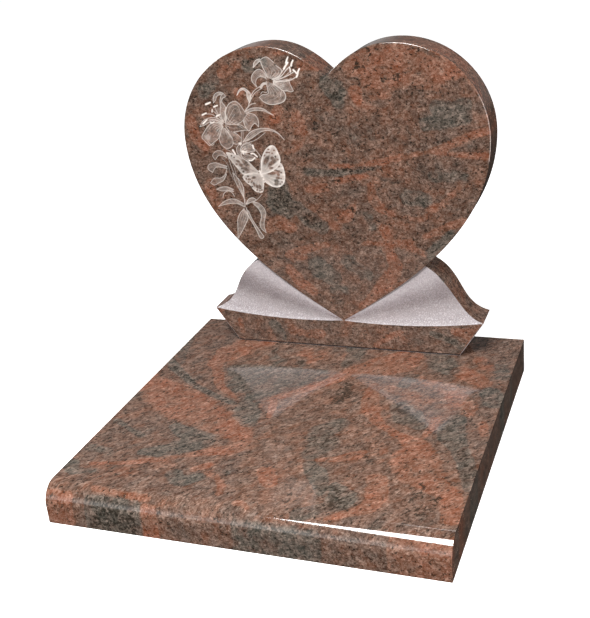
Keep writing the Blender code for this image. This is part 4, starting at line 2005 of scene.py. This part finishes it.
SLAB_VEINS = {
    Mineral.ORANGE: (
        Vein(0.85, (-215, 300, 45), (-250, 250, 45), (-270, 200, 32), (-285, 160, 18)),
        Vein(
            0.85, (-290, 230, 18), (-270, 150, 14), (-245, 100, 13), (-225, 60, 12), (-190, 30, 8),
            (-160, 5, 5),
        ),
        Vein(
            0.72, (-400, 50, 38), (-330, 0, 58), (-250, -50, 62), (-180, -85, 50), (-110, -120, 36),
            (-85, -160, 28), (-95, -200, 20),
        ),
        Vein(
            0.95, (-85, -190, 20), (-140, -215, 12), (-185, -238, 9), (-235, -265, 10), (-290, -285, 7),
            (-350, -300, 6),
        ),
        Vein(
            1.0, (-115, 5, 8), (-75, 30, 12), (-40, 60, 12), (-5, 95, 12), (25, 130, 15), (40, 165, 18),
            (75, 200, 24), (110, 235, 28), (150, 270, 28),
        ),
        Vein(0.9, (110, 200, 38), (150, 235, 46), (165, 268, 28)),
        Vein(0.95, (-75, 15, 8), (-68, -20, 9), (-62, -55, 6)),
        Vein(0.95, (283, 0, 9), (283, -30, 10), (277, -65, 7)),
        Vein(
            0.85, (120, 120, 12), (125, 70, 20), (140, 20, 22), (160, -20, 14), (190, -50, 11),
            (225, -75, 12), (260, -95, 20),
        ),
        Vein(
            0.9, (270, -110, 32), (280, -160, 50), (300, -200, 45), (335, -235, 28), (370, -265, 22),
            (385, -330, 20),
        ),
        Vein(1.0, (95, -195, 7), (130, -185, 11), (160, -165, 16), (175, -150, 8)),
        Vein(1.0, (290, 215, 24), (325, 190, 25), (350, 170, 18)),
        Vein(0.6, (205, 170, 10), (260, 140, 28), (300, 110, 32), (310, 80, 25)),
        Vein(0.5, (135, 125, 12), (200, 90, 28), (240, 70, 25)),
        Vein(0.8, (380, 0, 10), (388, -40, 10)),
        Vein(0.85, (10, -255, 20), (30, -290, 18)),
        Vein(0.9, (-100, -285, 7), (-75, -295, 8), (-55, -320, 9), (-50, -345, 8)),
        Vein(0.8, (-5, -365, 10), (15, -370, 8)),
        Vein(0.8, (-130, -275, 12), (-110, -255, 10)),
        Vein(0.85, (225, -240, 22), (240, -290, 22), (232, -330, 18), (200, -355, 12), (160, -370, 10)),
        Vein(0.5, (180, -100, 26), (200, -140, 24)),
        Vein(0.55, (-95, 260, 24), (-60, 215, 20), (-40, 270, 18)),
        Vein(0.6, (320, 280, 22), (345, 245, 18)),
        Vein(0.9, (-182, -400, 12), (-168, -400, 12)),
        Vein(1.0, (300, -400, 14), (400, -400, 20)),
        Vein(0.8, (-400, -400, 14), (-350, -395, 12)),
        Vein(0.7, (-300, -375, 8), (-240, -378, 7), (-180, -380, 8)),
        Vein(0.6, (340, 40, 20), (345, 75, 16)),
    ),
    Mineral.GREY: (
        Vein(1.0, (-205, 135, 33), (-140, 122, 54), (-70, 127, 50), (-25, 147, 30)),
        Vein(1.0, (-150, 85, 60), (-120, 45, 42), (-125, 5, 20)),
        Vein(0.9, (-130, -10, 22), (-115, -50, 32), (-95, -85, 20)),
        Vein(
            1.0, (-400, 165, 8), (-370, 125, 14), (-335, 95, 12), (-290, 55, 8), (-240, 25, 9),
            (-200, 5, 8), (-160, -15, 8),
        ),
        Vein(0.6, (-400, 275, 14), (-385, 200, 14), (-360, 150, 8)),
        Vein(
            0.95, (-245, -130, 14), (-200, -155, 26), (-160, -170, 26), (-190, -205, 30),
            (-225, -225, 25), (-265, -238, 12),
        ),
        Vein(0.6, (-385, -130, 10), (-350, -150, 8), (-300, -180, 12)),
        Vein(0.8, (-165, -300, 18), (-140, -320, 20), (-110, -300, 14)),
        Vein(0.8, (-390, -310, 18), (-370, -330, 16), (-330, -320, 8)),
        Vein(0.5, (-395, -240, 16), (-340, -250, 14)),
        Vein(0.75, (95, -50, 22), (70, -95, 32), (85, -135, 36), (75, -178, 22)),
        Vein(1.0, (85, -215, 14), (105, -240, 22), (125, -270, 18), (135, -300, 10)),
        Vein(1.0, (155, -272, 10), (178, -308, 32), (165, -345, 22), (115, -372, 14)),
        Vein(0.85, (200, 35, 24), (225, 0, 36), (255, -28, 20)),
        Vein(1.0, (325, 12, 18), (325, -50, 30), (345, -90, 22)),
        Vein(1.0, (345, -90, 20), (365, -130, 18), (385, -180, 18), (398, -230, 14)),
        Vein(0.95, (370, 130, 24), (385, 95, 28)),
        Vein(0.9, (192, 172, 18), (180, 132, 14)),
        Vein(0.75, (30, 290, 28), (35, 240, 22), (25, 205, 12)),
        Vein(0.75, (215, 290, 25), (245, 245, 40), (265, 218, 24)),
        Vein(0.6, (370, 250, 20), (385, 210, 22)),
        Vein(0.6, (-165, 260, 10), (-160, 225, 12), (-130, 190, 20)),
        Vein(0.6, (-85, 215, 16), (-75, 188, 12)),
        Vein(0.5, (-88, -268, 10), (-65, -275, 10)),
        Vein(1.0, (-300, -400, 14), (-205, -400, 14)),
        Vein(0.7, (0, -400, 8), (80, -400, 12), (160, -400, 8)),
    ),
    Mineral.DARK: (
        Vein(0.6, (-375, 130, 8), (-335, 95, 8), (-240, 25, 6), (-170, -10, 6)),
        Vein(0.75, (60, 112, 12), (65, 75, 22), (60, 35, 14)),
        Vein(0.9, (-168, 257, 5), (-165, 225, 6)),
        Vein(0.9, (-82, 206, 7), (-78, 185, 6)),
        Vein(0.8, (33, 220, 6), (24, 195, 7)),
        Vein(0.7, (200, 38, 14), (212, 20, 16)),
        Vein(0.6, (355, -110, 10), (375, -150, 12), (390, -200, 12)),
        Vein(0.6, (160, -285, 10), (180, -312, 24), (160, -345, 12)),
        Vein(0.6, (-175, -160, 12), (-140, -168, 10)),
        Vein(0.9, (173, -158, 8), (190, -175, 8)),
        Vein(0.5, (60, -120, 24), (90, -120, 20)),
        Vein(0.5, (310, -240, 22), (330, -290, 34), (310, -340, 22)),
        Vein(0.6, (-290, -400, 12), (-215, -400, 12)),
    ),
}
HEART_VEINS = {
    Mineral.ORANGE: (
        # These two run along the top edges of the lobes and make a warmer, lighter rim on the outline.
        Vein(1.0, (-185, 786, 5), (-120, 790, 5), (-60, 778, 6), (-20, 752, 6), (2, 735, 5)),
        Vein(0.7, (90, 785, 4), (160, 790, 5), (230, 768, 5), (290, 725, 5), (325, 680, 5)),
        Vein(0.9, (60, 735, 20), (110, 760, 22), (170, 755, 27), (230, 735, 22), (280, 720, 14)),
        Vein(0.65, (95, 715, 26), (180, 710, 26), (240, 700, 18)),
        Vein(0.95, (65, 685, 16), (70, 665, 10)),
        Vein(0.6, (100, 672, 10), (140, 676, 8)),
        Vein(1.0, (215, 557, 4), (260, 570, 9), (300, 588, 9), (345, 603, 8)),
        Vein(
            0.85, (0, 522, 7), (50, 523, 8), (110, 533, 9), (160, 545, 8), (220, 556, 6), (270, 552, 6),
            (340, 548, 9),
        ),
        Vein(0.85, (10, 490, 8), (40, 497, 9), (80, 500, 6)),
        Vein(0.65, (-75, 640, 14), (-65, 600, 18), (-80, 570, 14), (-100, 555, 10)),
        Vein(0.85, (-112, 650, 12), (-125, 630, 13)),
        Vein(0.85, (-205, 688, 10), (-195, 692, 9)),
        Vein(0.85, (-50, 745, 13), (-15, 742, 12)),
        Vein(0.8, (-110, 772, 5), (-80, 770, 5)),
        Vein(0.65, (-235, 733, 16), (-200, 748, 12)),
        Vein(0.8, (-330, 630, 14), (-322, 590, 16), (-300, 565, 12)),
        Vein(1.0, (85, 480, 8), (90, 450, 13), (105, 430, 11), (130, 415, 8)),
        Vein(0.95, (15, 402, 12), (28, 408, 14), (42, 428, 9)),
        Vein(0.65, (-15, 388, 10), (5, 385, 12)),
        Vein(0.65, (110, 380, 14), (125, 350, 12)),
        Vein(0.7, (150, 410, 6), (200, 405, 8), (215, 425, 10), (250, 445, 10), (270, 470, 8)),
        Vein(0.95, (200, 365, 6), (240, 382, 9), (280, 400, 10), (300, 405, 8)),
        Vein(0.85, (-165, 372, 12), (-140, 387, 20), (-108, 375, 14)),
        Vein(1.0, (-125, 308, 8), (-95, 320, 10), (-60, 330, 9), (-25, 338, 6)),
        Vein(0.75, (-112, 298, 8), (-80, 305, 6)),
        Vein(0.85, (110, 330, 8), (135, 345, 9), (170, 338, 9), (200, 325, 7)),
        Vein(0.9, (125, 315, 14), (132, 285, 17), (105, 250, 18), (75, 215, 12), (48, 190, 8)),
        Vein(0.9, (-124, 275, 12), (-102, 248, 15), (-68, 220, 11)),
        Vein(0.8, (60, 343, 6), (115, 347, 8), (172, 352, 8)),
        Vein(0.6, (-60, 470, 12), (-20, 474, 14)),
        Vein(0.9, (-266, 135, 7), (-262, 105, 7)),
        Vein(1.0, (-335, 158, 18), (-296, 178, 16)),
        Vein(0.7, (-135, 118, 13), (-100, 108, 12), (-60, 112, 15)),
        Vein(0.8, (75, 92, 8), (100, 110, 9), (135, 130, 8)),
        Vein(1.0, (262, 140, 10), (300, 136, 15), (345, 128, 14)),
        # This one runs down the right lobe's upper flank and warms and lightens it.
        Vein(0.5, (300, 735, 10), (338, 670, 12), (350, 620, 10)),
        Vein(0.6, (-305, 480, 14), (-290, 430, 14)),
    ),
    Mineral.GREY: (
        Vein(0.85, (-176, 128, 15), (-160, 95, 15)),
        Vein(0.9, (210, 132, 7), (240, 122, 9), (280, 104, 9)),
        Vein(0.85, (2, 705, 18), (20, 690, 26), (25, 665, 16)),
        Vein(0.95, (240, 650, 18), (270, 642, 26), (298, 655, 16)),
        Vein(0.8, (215, 615, 16), (260, 625, 20), (300, 630, 16)),
        Vein(1.0, (-130, 470, 24), (-130, 440, 34), (-112, 420, 20)),
        Vein(0.95, (-90, 425, 16), (-65, 400, 20), (-35, 380, 18)),
        Vein(0.85, (170, 455, 20), (205, 450, 18)),
        Vein(0.65, (75, 412, 12), (85, 385, 12)),
        Vein(0.85, (-60, 510, 10), (0, 507, 9), (60, 515, 8), (110, 522, 4)),
        Vein(0.85, (-52, 282, 26), (-18, 258, 22)),
        Vein(0.65, (18, 302, 18), (60, 270, 20)),
        Vein(0.95, (212, 325, 12), (245, 358, 10), (262, 375, 8)),
        Vein(0.75, (-175, 745, 16), (-140, 752, 14)),
        Vein(0.65, (-288, 690, 18), (-260, 715, 16)),
        Vein(0.45, (60, 622, 14), (92, 592, 16), (50, 575, 14)),
        Vein(0.55, (225, 502, 16), (290, 505, 14)),
        Vein(0.55, (115, 496, 8), (150, 490, 8)),
        Vein(0.65, (-20, 226, 12), (10, 226, 12)),
        Vein(0.5, (-20, 640, 16), (10, 620, 14)),
    ),
    Mineral.DARK: (
        Vein(0.7, (225, 126, 5), (270, 108, 6)),
        Vein(0.6, (-130, 465, 16), (-128, 440, 26)),
        Vein(0.6, (-75, 405, 12), (-40, 385, 14)),
        Vein(0.45, (10, 700, 16), (18, 678, 18)),
        Vein(0.7, (-20, 510, 6), (42, 515, 8), (95, 520, 6)),
        Vein(1.0, (73, 750, 6), (73, 738, 6)),
        Vein(1.0, (101, 772, 6), (103, 766, 6)),
        Vein(1.0, (125, 714, 6), (128, 710, 7)),
        Vein(1.0, (155, 716, 7), (158, 712, 8)),
        Vein(0.9, (-28, 625, 6), (-32, 608, 6)),
        Vein(1.0, (38, 427, 6), (42, 423, 6)),
        Vein(1.0, (5, 488, 6), (16, 488, 6)),
        Vein(0.6, (-180, 757, 8), (-158, 757, 8)),
        Vein(0.6, (192, 690, 8), (208, 690, 8)),
    ),
}


def main() -> None:
    """Builds the two stones and the studio."""
    logging.basicConfig(level=logging.INFO, format="%(name)s: %(message)s")
    slab_granite = GraniteFinish(
        name="slab granite, polished",
        face_turn=0.0,
        stretch=(0.85, 1.8, 1.0),
        grain_angle=40.0,
        albedo=0.70,
        flow_angle=50.0,
    )
    heart_granite = GraniteFinish(
        name="heart granite, polished and etched",
        face_turn=math.radians(-90.0),
        stretch=(1.2, 1.0, 1.0),
        albedo=0.60,
        flow_angle=12.0,
        bands=0.30,
        joint_top=83.4 * MM,
        etched=True,
    )
    frosted = FrostedFinish("heart granite, sandblasted")
    LedgerSlab().build(slab_granite.material())
    HeartStone().build(heart_granite.material(), frosted.material())
    Studio().build()


if __name__ == "__main__":
    main()
